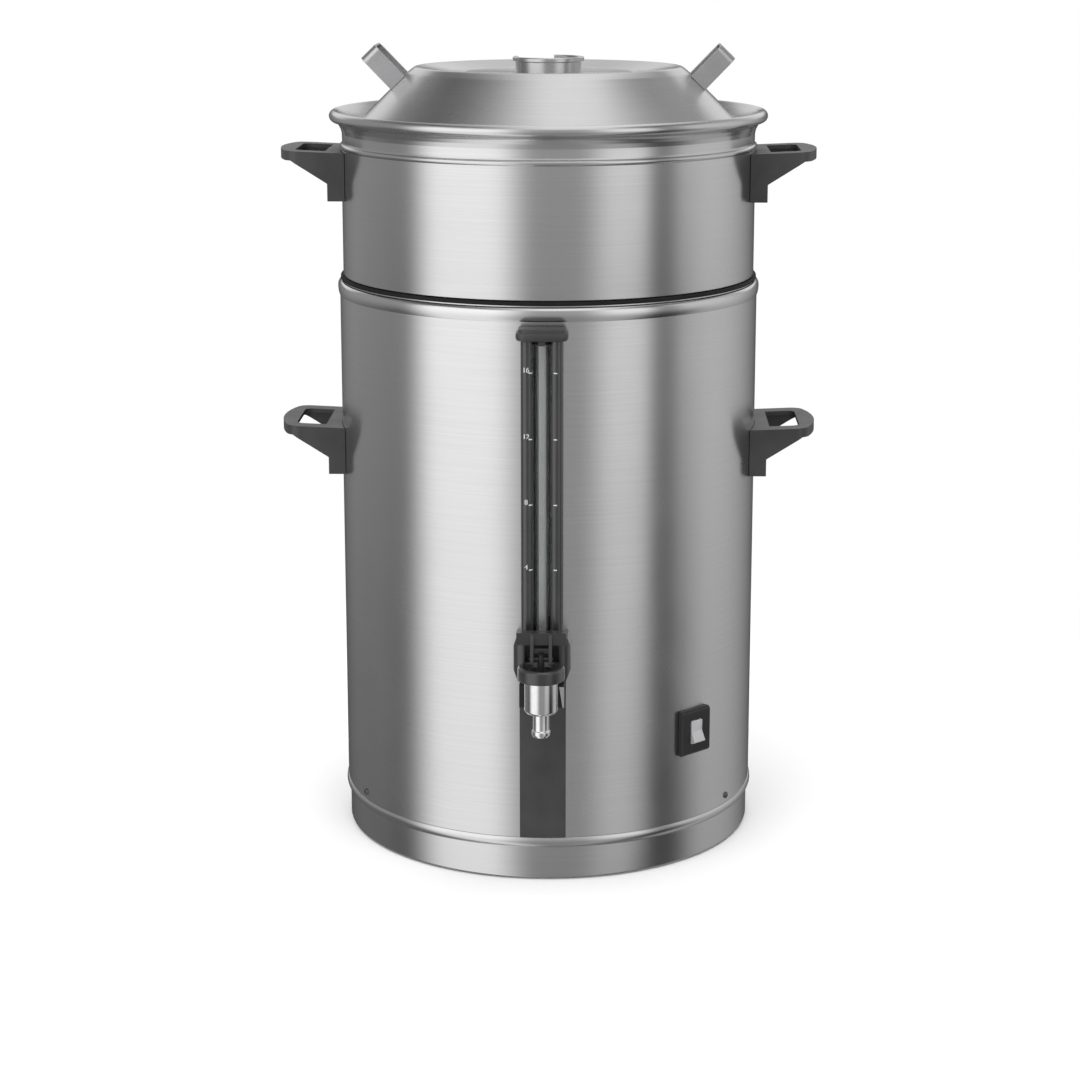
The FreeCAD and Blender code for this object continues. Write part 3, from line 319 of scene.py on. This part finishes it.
def mesh_of(name, form, sharp=32):
    """Closes a bmesh into a smooth-shaded mesh, with edges sharp where it folds by over sharp degrees."""
    bmesh.ops.recalc_face_normals(form, faces=form.faces)
    mesh = bpy.data.meshes.new(name)
    form.to_mesh(mesh)
    form.free()
    for face in mesh.polygons:
        face.use_smooth = True
    mesh.set_sharp_from_angle(angle=math.radians(sharp))
    return mesh


def polar(radius, angle, height, centre=(0.0, 0.0)):
    """The point at a radius and an angle in radians round a vertical line through centre."""
    return Vector((centre[0] + radius * math.cos(angle), centre[1] + radius * math.sin(angle), height))


def lathe(name, outline, segments=224, centre=(0.0, 0.0)):
    """A closed outline of (radius, height) turned about a vertical line through centre."""
    form = bmesh.new()
    rings = []
    for radius, height in rounded(outline):
        count = 1 if radius < 1e-6 else segments
        ring = []
        for step in range(count):
            angle = 2 * math.pi * step / segments
            ring.append(form.verts.new(polar(radius, angle, height, centre) * MM))
        rings.append(ring)
    for first, second in zip(rings, rings[1:] + rings[:1]):
        join_rings(form, first, second, segments)
    return mesh_of(name, form)


def join_rings(form, first, second, segments):
    """Faces between two rings, either of which may be a single point on the axis."""
    if len(first) == 1 and len(second) == 1:
        return
    for step in range(segments):
        following = (step + 1) % segments
        corners = [first[step % len(first)], first[following % len(first)],
                   second[following % len(second)], second[step % len(second)]]
        form.faces.new(list(dict.fromkeys(corners)))


def wall(name, radius, thickness, low, high, openings, segments=224):
    """A round sheet wall. An opening (angle in degrees, width, low, high) is a window in it."""
    angles = [360.0 * step / segments for step in range(segments)]
    heights = {low, high}
    spans = []
    for angle, width, bottom, top in openings:
        half = math.degrees(math.asin(width / 2 / radius))
        spans.append((angle - half, angle + half, bottom, top))
        angles = [a for a in angles if not (abs(a - angle + half) < 0.8 or abs(a - angle - half) < 0.8)]
        angles += [angle - half, angle + half]
        heights |= {bottom, top}
    angles.sort()
    heights = sorted(heights)
    form = bmesh.new()
    layers = []
    for reach in (radius, radius - thickness):
        layers.append([[form.verts.new(polar(reach, math.radians(a), height) * MM) for a in angles]
                       for height in heights])
    for grid in layers:
        skin_wall(form, grid, angles, heights, spans)
    for level in (low, high):
        rim = [edge for edge in form.edges if edge.is_boundary and lies_level(edge, level)]
        bmesh.ops.bridge_loops(form, edges=rim)
    for first, last, bottom, top in spans:
        close_window(form, layers, angles, heights, (first, last, bottom, top))
    return mesh_of(name, form)


def lies_level(edge, height):
    first, last = (vert.co.z for vert in edge.verts)
    return first == last and abs(first / MM - height) < 1e-3


def skin_wall(form, grid, angles, heights, spans):
    """One face of the sheet, with nothing where a window is."""
    for row in range(len(heights) - 1):
        for step, angle in enumerate(angles):
            following = (step + 1) % len(angles)
            middle = angle + ((angles[following] - angle) % 360) / 2
            height = (heights[row] + heights[row + 1]) / 2
            if any(first < middle < last and bottom < height < top for first, last, bottom, top in spans):
                continue
            lower, upper = grid[row], grid[row + 1]
            form.faces.new((lower[step], lower[following], upper[following], upper[step]))


def close_window(form, layers, angles, heights, span):
    """The four cut edges of a window, between the sheet's two faces."""
    first, last, bottom, top = span
    columns = [step for step, angle in enumerate(angles) if first - 1e-6 <= angle <= last + 1e-6]
    rows = [row for row, height in enumerate(heights) if bottom - 1e-6 <= height <= top + 1e-6]
    path = [(rows[0], column) for column in columns]
    path += [(row, columns[-1]) for row in rows[1:]]
    path += [(rows[-1], column) for column in reversed(columns[:-1])]
    path += [(row, columns[0]) for row in reversed(rows[1:-1])]
    outer, inner = layers
    for here, there in zip(path, path[1:] + path[:1]):
        form.faces.new((outer[here[0]][here[1]], outer[there[0]][there[1]],
                        inner[there[0]][there[1]], inner[here[0]][here[1]]))


def show(name, mesh, body, slot, replaced=(), material=None):
    """Puts a mesh in the scene as a piece that rides on a body."""
    item = bpy.data.objects.new(name, mesh)
    bpy.context.scene.collection.objects.link(item)
    mesh.materials.clear()
    mesh.materials.append(material or MATERIALS[slot])
    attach(item, body)
    if replaced:
        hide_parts(*replaced)
    return item


def stand_for(name, mesh, node):
    """Shows a mesh in place of a CAD node, on that node's body and with its finish."""
    return show(name, mesh, BODY_OF[node], SLOT_OF[node], (node,))


def softened(name, node, width, segments=3, fold=33):
    """The form of a CAD node with its triangles merged into panels and its edges rounded over."""
    form = bmesh.new()
    form.from_mesh(frame["nodes"][node].data)
    bmesh.ops.remove_doubles(form, verts=form.verts, dist=0.004 * MM)
    bmesh.ops.dissolve_limit(form, angle_limit=math.radians(0.4), verts=form.verts, edges=form.edges)
    mesh = mesh_of(name, form, 180)
    item = stand_for(name, mesh, node)
    bevel = item.modifiers.new("edges", "BEVEL")
    bevel.width = width * MM
    bevel.segments = segments
    bevel.limit_method = "ANGLE"
    bevel.angle_limit = math.radians(fold)
    bevel.use_clamp_overlap = True
    weighted = item.modifiers.new("normals", "WEIGHTED_NORMAL")
    weighted.weight = 80
    return item


# ---------------------------------------------------------------- container
def make_base():
    plinth, jacket = Extent("base_ring"), Extent("jacket")
    side = jacket.x1 - 1.8
    bead_low, bead_high = plinth.z1 - 8.0, plinth.z1
    stand_for("plinth_with_bead", lathe("plinth_with_bead", [
        (side - 14, plinth.z0), (side, plinth.z0, 1.2),
        (side, bead_low - 0.6, 0.6), (side + 0.9, bead_low, 0.5),
        *bow((side + 0.9, bead_low), (jacket.x1 + 0.4, bead_high - 0.2), 1.45),
        (jacket.x1 + 0.35, bead_high - 0.2), (jacket.x1 - 0.4, bead_high), (side - 1.2, bead_high),
        (side - 1.2, plinth.z0 + 1.2, 1.0), (side - 14, plinth.z0 + 1.2),
    ]), "base_ring")
    feet = softened("rubber_foot_set", "rubber_feet", 1.0)
    feet.modifiers["edges"].angle_limit = math.radians(50)


def make_jacket():
    """Outer wall with a window for the mains inlet and one for the switch."""
    jacket, inlet, bezel = Extent("jacket"), Extent("power_inlet"), Extent("switch_bezel")
    level = inlet.middle.z
    switch_angle = math.degrees(math.atan2(bezel.middle.y, bezel.middle.x)) % 360
    windows = [(90.0, 27.4, level - 10.2, level + 10.2),
               (switch_angle, 22.4, bezel.middle.z - 15.2, bezel.middle.z + 15.2)]
    stand_for("outer_jacket", wall("outer_jacket", jacket.x1, 1.0, jacket.z0, jacket.z1, windows), "jacket")


def make_rim():
    """Rolled collar under the black seal."""
    collar, jacket = Extent("rim_collar"), Extent("jacket")
    seal, vessel = Extent("rim_seal"), Extent("inner_vessel")
    low, high, side = collar.z0, collar.z1, jacket.x1
    stand_for("rolled_collar", lathe("rolled_collar", [
        (side + 0.1, low), (side + 0.7, low, 0.3),
        *bow((side + 0.7, low), (side + 1.5, high - 3.4), 0.35),
        (side + 1.5, high - 3.4), *bow((side + 1.5, high - 3.4), (side - 2.0, high), 0.8),
        (side - 2.0, high), (vessel.x1 - 9.4, high),
        (vessel.x1 - 9.4, high - 1.0), (side + 0.1, high - 1.0, 0.8),
    ]), "rim_collar")
    stand_for("seal_ring", lathe("seal_ring", [
        (seal.x1 - 7.8, seal.z0), (seal.x1, seal.z0, 0.7), (seal.x1, seal.z1, 0.7), (seal.x1 - 7.8, seal.z1),
    ]), "rim_seal")


def make_screws():
    """Domed cross-head screws low on the jacket."""
    jacket, screws = Extent("jacket"), Extent("base_screws")
    level = screws.middle.z
    form = bmesh.new()
    for angle in (30, 150, 210, 330):
        outward = Matrix.Rotation(math.radians(angle), 4, "Z") @ Matrix.Translation((jacket.x1, 0, level))
        domed_head(form, outward @ Matrix.Rotation(math.radians(90), 4, "Y"), 2.7, 1.7)
    heads = stand_for("domed_screws", mesh_of("domed_screws", form, 40), "base_screws")
    # The heads get a darkened steel as painted shade, so they show as dark dots.
    heads.data.materials[0] = SCREW_PAINTED_SHADE


def domed_head(form, place, radius, height, rings=5, segments=28):
    """A domed screw head with a sunk hexagonal drive, standing along its own Z."""
    profile = [(radius, 0.0), (radius, 0.25 * height)]
    for step in range(1, rings):
        angle = math.pi / 2 * step / rings
        profile.append((radius * math.cos(angle) * 0.98, height * (0.25 + 0.75 * math.sin(angle))))
    drive = 0.42 * radius
    profile += [(drive, profile[-1][1]), (drive * 0.92, 0.45 * height), (0.0, 0.4 * height)]
    loops = []
    for reach, rise in profile:
        count = 1 if reach == 0 else segments
        loops.append([form.verts.new(place @ polar(reach, 2 * math.pi * step / segments, rise) * MM)
                      for step in range(count)])
    form.faces.new(loops[0])
    for first, second in zip(loops, loops[1:]):
        join_rings(form, first, second, segments)


# ---------------------------------------------------------------- gauge, tap, switch and inlet
def make_gauge():
    softened("gauge_pillars", "gauge_column", 0.5, fold=40)
    make_cap()
    softened("tap_strip", "front_strip", 0.35, 2)
    glass, column = Extent("gauge_glass"), Extent("gauge_column")
    axis, radius = glass.middle, (glass.x1 - glass.x0) / 2
    low, high = glass.z0, glass.z1
    stand_for("glass_tube", lathe("glass_tube", [
        (radius - 1.2, low), (radius, low, 0.4), (radius, high, 0.4), (radius - 1.2, high),
    ], 48, (axis.x, axis.y)), "gauge_glass")
    backing = bmesh.new()
    back = axis.y + radius + 0.45
    add_box(backing, (-radius * 0.70, back - 0.2, column.z0), (radius * 0.84, back + 0.1, column.z1))
    show("gauge_backing_strip", mesh_of("gauge_backing_strip", backing), "container",
         SLOT_OF["gauge_column"], material=BACKING)
    make_scale(column)


def make_cap():
    """Cap with a bulged band at the bottom, a narrower plate on top and a small tongue over the slot."""
    cap = Extent("gauge_cap")
    back = cap.y1 - 6
    form = bmesh.new()
    stations = ((-1.4, 0.0), (-0.4, 0.9), (0.0, 2.4), (0.0, 4.6), (-0.5, 6.0), (-1.6, 6.6), (-1.7, 7.4),
                (-1.9, 8.4), (-2.7, 8.9))
    layers = []
    for swell, rise in stations:
        half, front = cap.x1 + swell, cap.y0 - swell
        plan = rounded([(-half, back), (-half, front, 7.0), (half, front, 7.0), (half, back)])
        layers.append([form.verts.new(Vector((spot.x, spot.y, cap.z0 + rise)) * MM) for spot in plan])
    for first, second in zip(layers, layers[1:]):
        join_rings(form, first, second, len(first))
    form.faces.new(layers[0])
    form.faces.new(layers[-1])
    add_box(form, (-2.6, cap.y0 + 2.4, cap.z0 - 3.4), (2.6, cap.y0 + 5.0, cap.z0 + 1.0))
    stand_for("gauge_top_cap", mesh_of("gauge_top_cap", form), "gauge_cap")


def add_box(form, low, high):
    corners = [Vector(corner) * MM for corner in itertools.product(*zip(low, high))]
    verts = [form.verts.new(corner) for corner in corners]
    for face in ((0, 1, 3, 2), (4, 6, 7, 5), (0, 4, 5, 1), (2, 3, 7, 6), (0, 2, 6, 4), (1, 5, 7, 3)):
        form.faces.new([verts[index] for index in face])


def make_scale(column):
    """Printed volume numbers and ticks on the two rounded pillars."""
    pillar = (column.x1 - 6.1) / 2
    centre = column.x1 - pillar
    front = column.y0
    form = bmesh.new()
    for index, text in enumerate(("4", "8", "12", "16")):
        level = FIRST_MARK + index * MARK_GAP
        add_numeral(form, text, -centre - 0.8, level + 0.6)
        add_tick(form, -centre + 2.6, level)
        add_tick(form, centre - 1.0, level)
    for vert in form.verts:
        offset = abs(vert.co.x / MM) - centre
        rise = pillar - math.sqrt(max(pillar ** 2 - offset ** 2, 0.0))
        vert.co.y += (front + rise) * MM
    show("gauge_scale", mesh_of("gauge_scale", form), "container", SLOT_OF["gauge_column"], material=INK)


def add_tick(form, across, level, width=2.6, height=0.8, steps=6):
    """A printed tick, divided so that it can wrap round a pillar, standing just proud of y = 0."""
    for step in range(steps):
        left = across - width / 2 + width * step / steps
        add_box(form, (left, -0.08, level - height / 2), (left + width / steps, 0.05, level + height / 2))


def add_numeral(form, text, across, level, size=5.2):
    """Plain digits, as thin raised print just proud of y = 0."""
    curve = bpy.data.curves.new("digits", "FONT")
    curve.body = text
    curve.size = size * MM
    curve.extrude = 0.06 * MM
    curve.align_x = "CENTER"
    curve.offset = 0.06 * MM
    item = bpy.data.objects.new("digits", curve)
    place = Matrix.Translation(Vector((across, 0, level)) * MM)
    item.matrix_world = place @ Matrix.Rotation(math.pi / 2, 4, "X")
    mesh = bpy.data.meshes.new_from_object(item)
    mesh.transform(item.matrix_world)
    form.from_mesh(mesh)
    bpy.data.objects.remove(item)
    bpy.data.meshes.remove(mesh)


def make_tap():
    softened("tap_manifold", "tap_housing", 1.0, fold=28)
    make_skirt()
    softened("bonnet_nut", "tap_bonnet", 0.5, fold=28)
    softened("finger_lever", "tap_lever", 0.7)
    nozzle = Extent("tap_nozzle")
    axis, tip = nozzle.middle, nozzle.x1
    stand_for("spout_nozzle", lathe("spout_nozzle", [
        (tip - 2.4, nozzle.z0), (tip - 0.8, nozzle.z0, 0.7),
        (tip, nozzle.z0 + 1.8, 0.8), (tip, nozzle.z0 + 4.4, 0.7),
        (tip - 0.9, nozzle.z0 + 5.6, 0.5), (tip - 0.9, nozzle.z1), (tip - 2.4, nozzle.z1),
    ], 64, (0.0, axis.y)), "tap_nozzle")


def make_skirt():
    """Chromed skirt with a near-black block behind it, whose darkness is painted shade beside the skirt, and
    a chromed clip down the block's right side.
    """
    body, nozzle = Extent("tap_body"), Extent("tap_nozzle")
    radius, bore = 12.8, nozzle.x1 - 2.4
    axis = nozzle.middle.y
    low, high = body.z0, body.z1
    stand_for("chromed_skirt", lathe("chromed_skirt", [
        (bore, low), (radius - 1.6, low, 1.2), (radius, low + 2.2, 1.6), (radius, high), (bore, high),
    ], 96, (0.0, axis)), "tap_body")
    # The block's near-black colour is painted shade: it darkens the strip on each side of the skirt where
    # shade falls.
    block = bmesh.new()
    add_box(block, (-body.x1, axis + 8.5, low + 1.0), (body.x1, axis + 40.2, low + 18.6))
    show("shank_block_painted_shade", mesh_of("shank_block_painted_shade", block), "container",
         SLOT_OF["tap_housing"], material=DEEP_BLACK_AND_PAINTED_SHADE)
    clip = bmesh.new()
    top, foot = high - 8.0, low + 1.5
    corners = ((body.x1 - 3.4, top), (body.x1 + 0.3, top), (body.x1 + 0.3, foot), (body.x1 - 0.9, foot))
    front, rear = ([clip.verts.new(Vector((x, depth, z)) * MM) for x, z in corners]
                   for depth in (axis + 6.8, axis + 8.4))
    join_rings(clip, front, rear, len(corners))
    clip.faces.new(front)
    clip.faces.new(rear)
    show("skirt_clip", mesh_of("skirt_clip", clip), "container", SLOT_OF["tap_body"])


def make_switch():
    frame_piece = softened("switch_frame", "switch_bezel", 0.8)
    frame_piece.data.materials[0] = DEEP_BLACK_AND_PAINTED_SHADE
    softened("switch_lens", "switch_rocker", 0.45, fold=25)


def make_inlet():
    softened("mains_socket", "power_inlet", 0.8)
    softened("socket_pins", "inlet_pins", 0.4)


# ---------------------------------------------------------------- handles
def make_handles():
    for node in ("container_handle_right", "container_handle_left", "pan_handle_right", "pan_handle_left"):
        softened(f"moulded_{node}", node, 1.5, 4, 30)
    for node in ("container_handle_screws", "pan_handle_screws"):
        softened(f"pan_head_{node}", node, 0.5)


# ---------------------------------------------------------------- brew pan and lid
def make_pan():
    """Brew pan wall with a stepped swage, a flare and a rolled lip."""
    pan, collar = Extent("brew_pan"), Extent("rim_seal")
    handle = Extent("pan_handle_right")
    lip, top = pan.x1, pan.z1
    side = lip - 10.3
    seat = collar.z1 + 0.3
    swage = handle.z1 + 3.1
    floor = pan.z0 + 6.0
    skirt = side - 10.6
    stand_for("brew_pan_wall", lathe("brew_pan_wall", [
        (9, floor - 6), (10, floor - 6), (10, floor - 1, 1.0), (skirt, floor - 1, 4.0), (skirt, seat, 0.4),
        (side, seat, 1.0), (side, swage - 3.6, 0.3),
        *bow((side, swage - 3.6), (side - 0.2, swage + 0.8), 1.5), (side - 0.2, swage + 0.8),
        (side - 0.7, swage + 2.2, 0.6),
        (side - 0.5, swage + 9.0, 3.0), (side + 0.4, swage + 12.5, 3.0),
        *bow((side + 1.2, swage + 13.4), (lip - 3.8, swage + 18.2), -1.2),
        *bow((lip - 3.8, swage + 18.2), (lip - 4.6, top), 3.4, 14),
        (lip - 4.6, top), (lip - 6.0, top - 0.9, 1.0),
        *bow((lip - 7.2, top - 2.0), (side - 1.0, swage + 14.4), 0.9),
        (side - 1.0, swage + 13.0, 2.0), (side - 1.0, seat + 1, 0.8), (skirt - 1, seat + 1, 1.0),
        (skirt - 1, floor, 3.0), (9, floor),
    ]), "brew_pan")


def make_lid():
    """Conical lid: a foot flange, a straight slope, a rounded shoulder and a shallow dished top."""
    lid, inlet = Extent("lid_shell"), Extent("water_inlet")
    foot, brim = lid.z0 + 0.9, lid.x1
    top = lid.z1
    neck = inlet.x1 - 2.2
    slope_foot, slope_top = brim - 3.8, 113.3
    dish = top - 5.6
    stand_for("conical_lid", lathe("conical_lid", [
        (neck, dish), (neck, dish + 1.0), (66.0, dish + 1.0, 2.0), (68.6, dish - 0.3, 1.5),
        (80.0, dish + 0.8, 8.0), (101.5, top - 1.0, 6.0), (107.0, top, 5.0), (slope_top, top - 5.0, 7.0),
        (slope_foot, foot, 2.5), (brim, foot, 0.3),
        (brim, foot - 0.9, 0.3), (slope_foot - 0.5, foot - 0.9, 2.0), (slope_top - 1.0, top - 6.4, 6.0),
        (106.5, top - 1.7, 4.0), (101.0, top - 2.3, 5.0), (80.0, dish - 0.4, 7.0),
        (68.0, dish - 1.4, 1.2), (65.6, dish, 1.5),
    ]), "lid_shell")
    softened("water_filler_neck", "water_inlet", 0.35, 2)
    for side in ("right", "left"):
        softened(f"strap_handle_{side}", f"lid_strap_{side}", 0.45, 2, 40)


# ---------------------------------------------------------------- the rest of the CAD nodes
def dress_the_rest():
    """CAD nodes that stay as they are get the finish of their slot, except the tap stem and lever pin, which
    get painted shade.
    """
    for node, item in frame["nodes"].items():
        if item.hide_render:
            continue
        item.data.materials.clear()
        # The tap stem and lever pin are painted near-black as shade in the recess between the lever's ribs.
        in_painted_shade_recess = node in ("tap_stem", "lever_pin")
        item.data.materials.append(RECESS_PAINTED_SHADE if in_painted_shade_recess else MATERIALS[SLOT_OF[node]])


# ---------------------------------------------------------------- stage
# Light panels of the studio. Each has a bearing from the front, positive to the viewer's right, and a half
# width, both in degrees, and a brightness.
UPPER_PANELS = (
    (-105, 22, 0.36),   # left wing
    (-45, 16, 1.42),    # key softbox
    (6, 10, 0.45),      # gap between the softboxes
    (45, 6, 1.16),      # fill softbox
    (66, 2, 0.35),      # flag beside the fill
    (90, 9, 0.76),      # right wing
)
LOWER_PANELS = (
    (-120, 12, 0.16),   # left wing
    (-92, 4, 0.12),     # flag beside the key
    (-47, 12, 1.10),    # key softbox
    (6, 12, 0.30),      # gap between the softboxes
    (40, 4, 0.46),      # fill softbox
    (71, 5, 0.02),      # flag beside the fill
    (108, 6, 0.46),     # right wing
)
# Strips of the ceiling: place across it from -1 at the left to 1 at the right, half width, brightness.
CEILING_STRIPS = ((-0.75, 0.20, 0.12), (0.17, 0.11, 1.15), (0.80, 0.20, 0.12))
BACKDROP = 0.03
STUDIO_RADIUS = 7.0
BRIGHTEST = 1.6


def make_studio():
    """A surrounding wall of soft light that changes with bearing. The camera can't see it directly."""
    form = bmesh.new()
    bmesh.ops.create_uvsphere(form, u_segments=72, v_segments=36, radius=STUDIO_RADIUS)
    mesh = mesh_of("studio_light_wall", form, 180)
    wall_item = bpy.data.objects.new("studio_light_wall", mesh)
    bpy.context.scene.collection.objects.link(wall_item)
    wall_item.location = (0, 0, 0.3)
    wall_item.visible_camera = False
    wall_item.visible_shadow = False
    mesh.materials.append(studio_material())


def studio_material():
    """Light that depends on bearing and height, under a ceiling of strips that run from front to back."""
    material = bpy.data.materials.new("studio_light")
    material.use_nodes = True
    tree = material.node_tree
    tree.nodes.clear()
    output = tree.nodes.new("ShaderNodeOutputMaterial")
    glow = tree.nodes.new("ShaderNodeEmission")
    glow.inputs["Strength"].default_value = BRIGHTEST
    split = tree.nodes.new("ShaderNodeSeparateXYZ")
    tree.links.new(tree.nodes.new("ShaderNodeTexCoord").outputs["Object"], split.inputs[0])
    backward = tree.nodes.new("ShaderNodeMath")
    backward.operation = "MULTIPLY"
    backward.inputs[1].default_value = -1.0
    bearing = tree.nodes.new("ShaderNodeMath")
    bearing.operation = "ARCTAN2"
    tree.links.new(split.outputs["Y"], backward.inputs[0])
    tree.links.new(split.outputs["X"], bearing.inputs[0])
    tree.links.new(backward.outputs[0], bearing.inputs[1])
    turn = between(tree, bearing.outputs[0], -math.pi, math.pi, "LINEAR")
    lower = panel_ramp(tree, turn, LOWER_PANELS, 180)
    upper = panel_ramp(tree, turn, UPPER_PANELS, 180)
    across = between(tree, split.outputs["X"], -STUDIO_RADIUS, STUDIO_RADIUS, "LINEAR")
    ceiling = panel_ramp(tree, across, CEILING_STRIPS, 1)
    height = split.outputs["Z"]
    walls = blend(tree, between(tree, height, -0.40 * STUDIO_RADIUS, -0.07 * STUDIO_RADIUS), lower, upper)
    room = blend(tree, between(tree, height, 0.50 * STUDIO_RADIUS, 0.80 * STUDIO_RADIUS), walls, ceiling)
    tree.links.new(back_panel(tree, split, room), glow.inputs["Color"])
    tree.links.new(glow.outputs[0], output.inputs["Surface"])
    return material


def between(tree, value, low, high, kind="SMOOTHSTEP"):
    """0 below low, 1 above high."""
    node = tree.nodes.new("ShaderNodeMapRange")
    node.interpolation_type = kind
    node.inputs["From Min"].default_value = low
    node.inputs["From Max"].default_value = high
    tree.links.new(value, node.inputs["Value"])
    return node.outputs["Result"]


def panel_ramp(tree, value, panels, reach):
    """A grey ramp from -reach to reach, level across each panel and easing between neighbours."""
    stops = [(-reach, BACKDROP)]
    for middle, half, light in panels:
        stops += [(middle - half, light), (middle + half, light)]
    stops.append((reach, BACKDROP))
    node = tree.nodes.new("ShaderNodeValToRGB")
    ramp = node.color_ramp
    ramp.interpolation = "EASE"
    while len(ramp.elements) < len(stops):
        ramp.elements.new(0.5)
    for element, (place, light) in zip(ramp.elements, stops):
        element.position = (place + reach) / (2 * reach)
        element.color = (light / BRIGHTEST, light / BRIGHTEST, light / BRIGHTEST, 1.0)
    tree.links.new(value, node.inputs["Fac"])
    return node.outputs["Color"]


def blend(tree, share, first, second):
    node = tree.nodes.new("ShaderNodeMix")
    node.data_type = "RGBA"
    factor, colour_a, colour_b = node.inputs[0], node.inputs[6], node.inputs[7]
    tree.links.new(share, factor)
    tree.links.new(first, colour_a)
    tree.links.new(second, colour_b)
    return node.outputs[2]


def back_panel(tree, split, room):
    """A light panel high on the back wall, which the flat top of the lid shows."""
    glow = tree.nodes.new("ShaderNodeRGB")
    glow.outputs[0].default_value = (0.55, 0.55, 0.55, 1.0)
    share = tree.nodes.new("ShaderNodeMath")
    share.operation = "MULTIPLY"
    rising = tree.nodes.new("ShaderNodeMath")
    rising.operation = "MULTIPLY"
    falling = tree.nodes.new("ShaderNodeMath")
    falling.operation = "SUBTRACT"
    falling.inputs[0].default_value = 1.0
    above = between(tree, split.outputs["Z"], 0.50 * STUDIO_RADIUS, 0.60 * STUDIO_RADIUS)
    tree.links.new(above, falling.inputs[1])
    onset = between(tree, split.outputs["Z"], 0.14 * STUDIO_RADIUS, 0.20 * STUDIO_RADIUS)
    tree.links.new(onset, rising.inputs[0])
    tree.links.new(falling.outputs[0], rising.inputs[1])
    depth = between(tree, split.outputs["Y"], 0.60 * STUDIO_RADIUS, 0.80 * STUDIO_RADIUS)
    tree.links.new(depth, share.inputs[0])
    tree.links.new(rising.outputs[0], share.inputs[1])
    return blend(tree, share.outputs[0], room, glow.outputs[0])


def make_floor():
    """A pale floor that is lit white near the kettle and fades to a plain glowing white further off."""
    form = bmesh.new()
    bmesh.ops.create_circle(form, cap_ends=True, segments=96, radius=0.97 * STUDIO_RADIUS)
    mesh = mesh_of("pale_floor", form)
    floor = bpy.data.objects.new("pale_floor", mesh)
    bpy.context.scene.collection.objects.link(floor)
    material, tree, shader = start_material("pale_floor", (0.90, 0.90, 0.90), 0.0, 0.85)
    feed(shader, "Base Color", tint(tree, noise(tree, 3.0), (0.89, 0.89, 0.89), (0.91, 0.91, 0.91)))
    shader.inputs["Specular IOR Level"].default_value = 0.1
    distance = tree.nodes.new("ShaderNodeVectorMath")
    distance.operation = "LENGTH"
    tree.links.new(tree.nodes.new("ShaderNodeTexCoord").outputs["Object"], distance.inputs[0])
    glow = tree.nodes.new("ShaderNodeEmission")
    fade = tree.nodes.new("ShaderNodeMixShader")
    tree.links.new(between(tree, distance.outputs["Value"], 0.25, 0.85), fade.inputs["Fac"])
    tree.links.new(shader.outputs["BSDF"], fade.inputs[1])
    tree.links.new(glow.outputs[0], fade.inputs[2])
    output = next(node for node in tree.nodes if node.type == "OUTPUT_MATERIAL")
    tree.links.new(fade.outputs[0], output.inputs["Surface"])
    mesh.materials.append(material)
    floor.visible_glossy = False


def make_top_light():
    """A broad soft light overhead that whitens the floor."""
    light = bpy.data.lights.new("top_softbox", "AREA")
    light.shape = "SQUARE"
    light.size = 4.5
    light.energy = 150.0
    item = bpy.data.objects.new("top_softbox", light)
    item.location = (-0.4, -0.6, 3.4)
    item.visible_camera = False
    item.visible_glossy = False
    bpy.context.scene.collection.objects.link(item)


def make_world():
    world = bpy.data.worlds.new("plain_white")
    world.use_nodes = True
    world.node_tree.nodes["Background"].inputs["Color"].default_value = (1.0, 1.0, 1.0, 1.0)
    world.node_tree.nodes["Background"].inputs["Strength"].default_value = 1.0
    bpy.context.scene.world = world


def make_camera():
    """A standing viewer's place in front of the kettle and a hair to its right, looking slightly down."""
    bearing, pitch = math.radians(1.5), math.radians(12.36)
    distance, height = 2.000, 0.738
    lens, sensor = 82.0, 36.0
    camera = bpy.data.cameras.new("front_camera")
    camera.lens = lens
    camera.sensor_width = sensor
    camera.shift_x = -0.0078
    camera.shift_y = -0.070
    item = bpy.data.objects.new("front_camera", camera)
    item.location = (distance * math.sin(bearing), -distance * math.cos(bearing), height)
    item.rotation_euler = (math.pi / 2 - pitch, 0.0, bearing)
    bpy.context.scene.collection.objects.link(item)
    bpy.context.scene.camera = item
    bpy.context.scene.view_settings.view_transform = "Standard"


make_camera()
make_world()
make_studio()
make_floor()
make_top_light()
make_base()
make_jacket()
make_rim()
make_screws()
make_gauge()
make_tap()
make_switch()
make_inlet()
make_handles()
make_pan()
make_lid()
dress_the_rest()
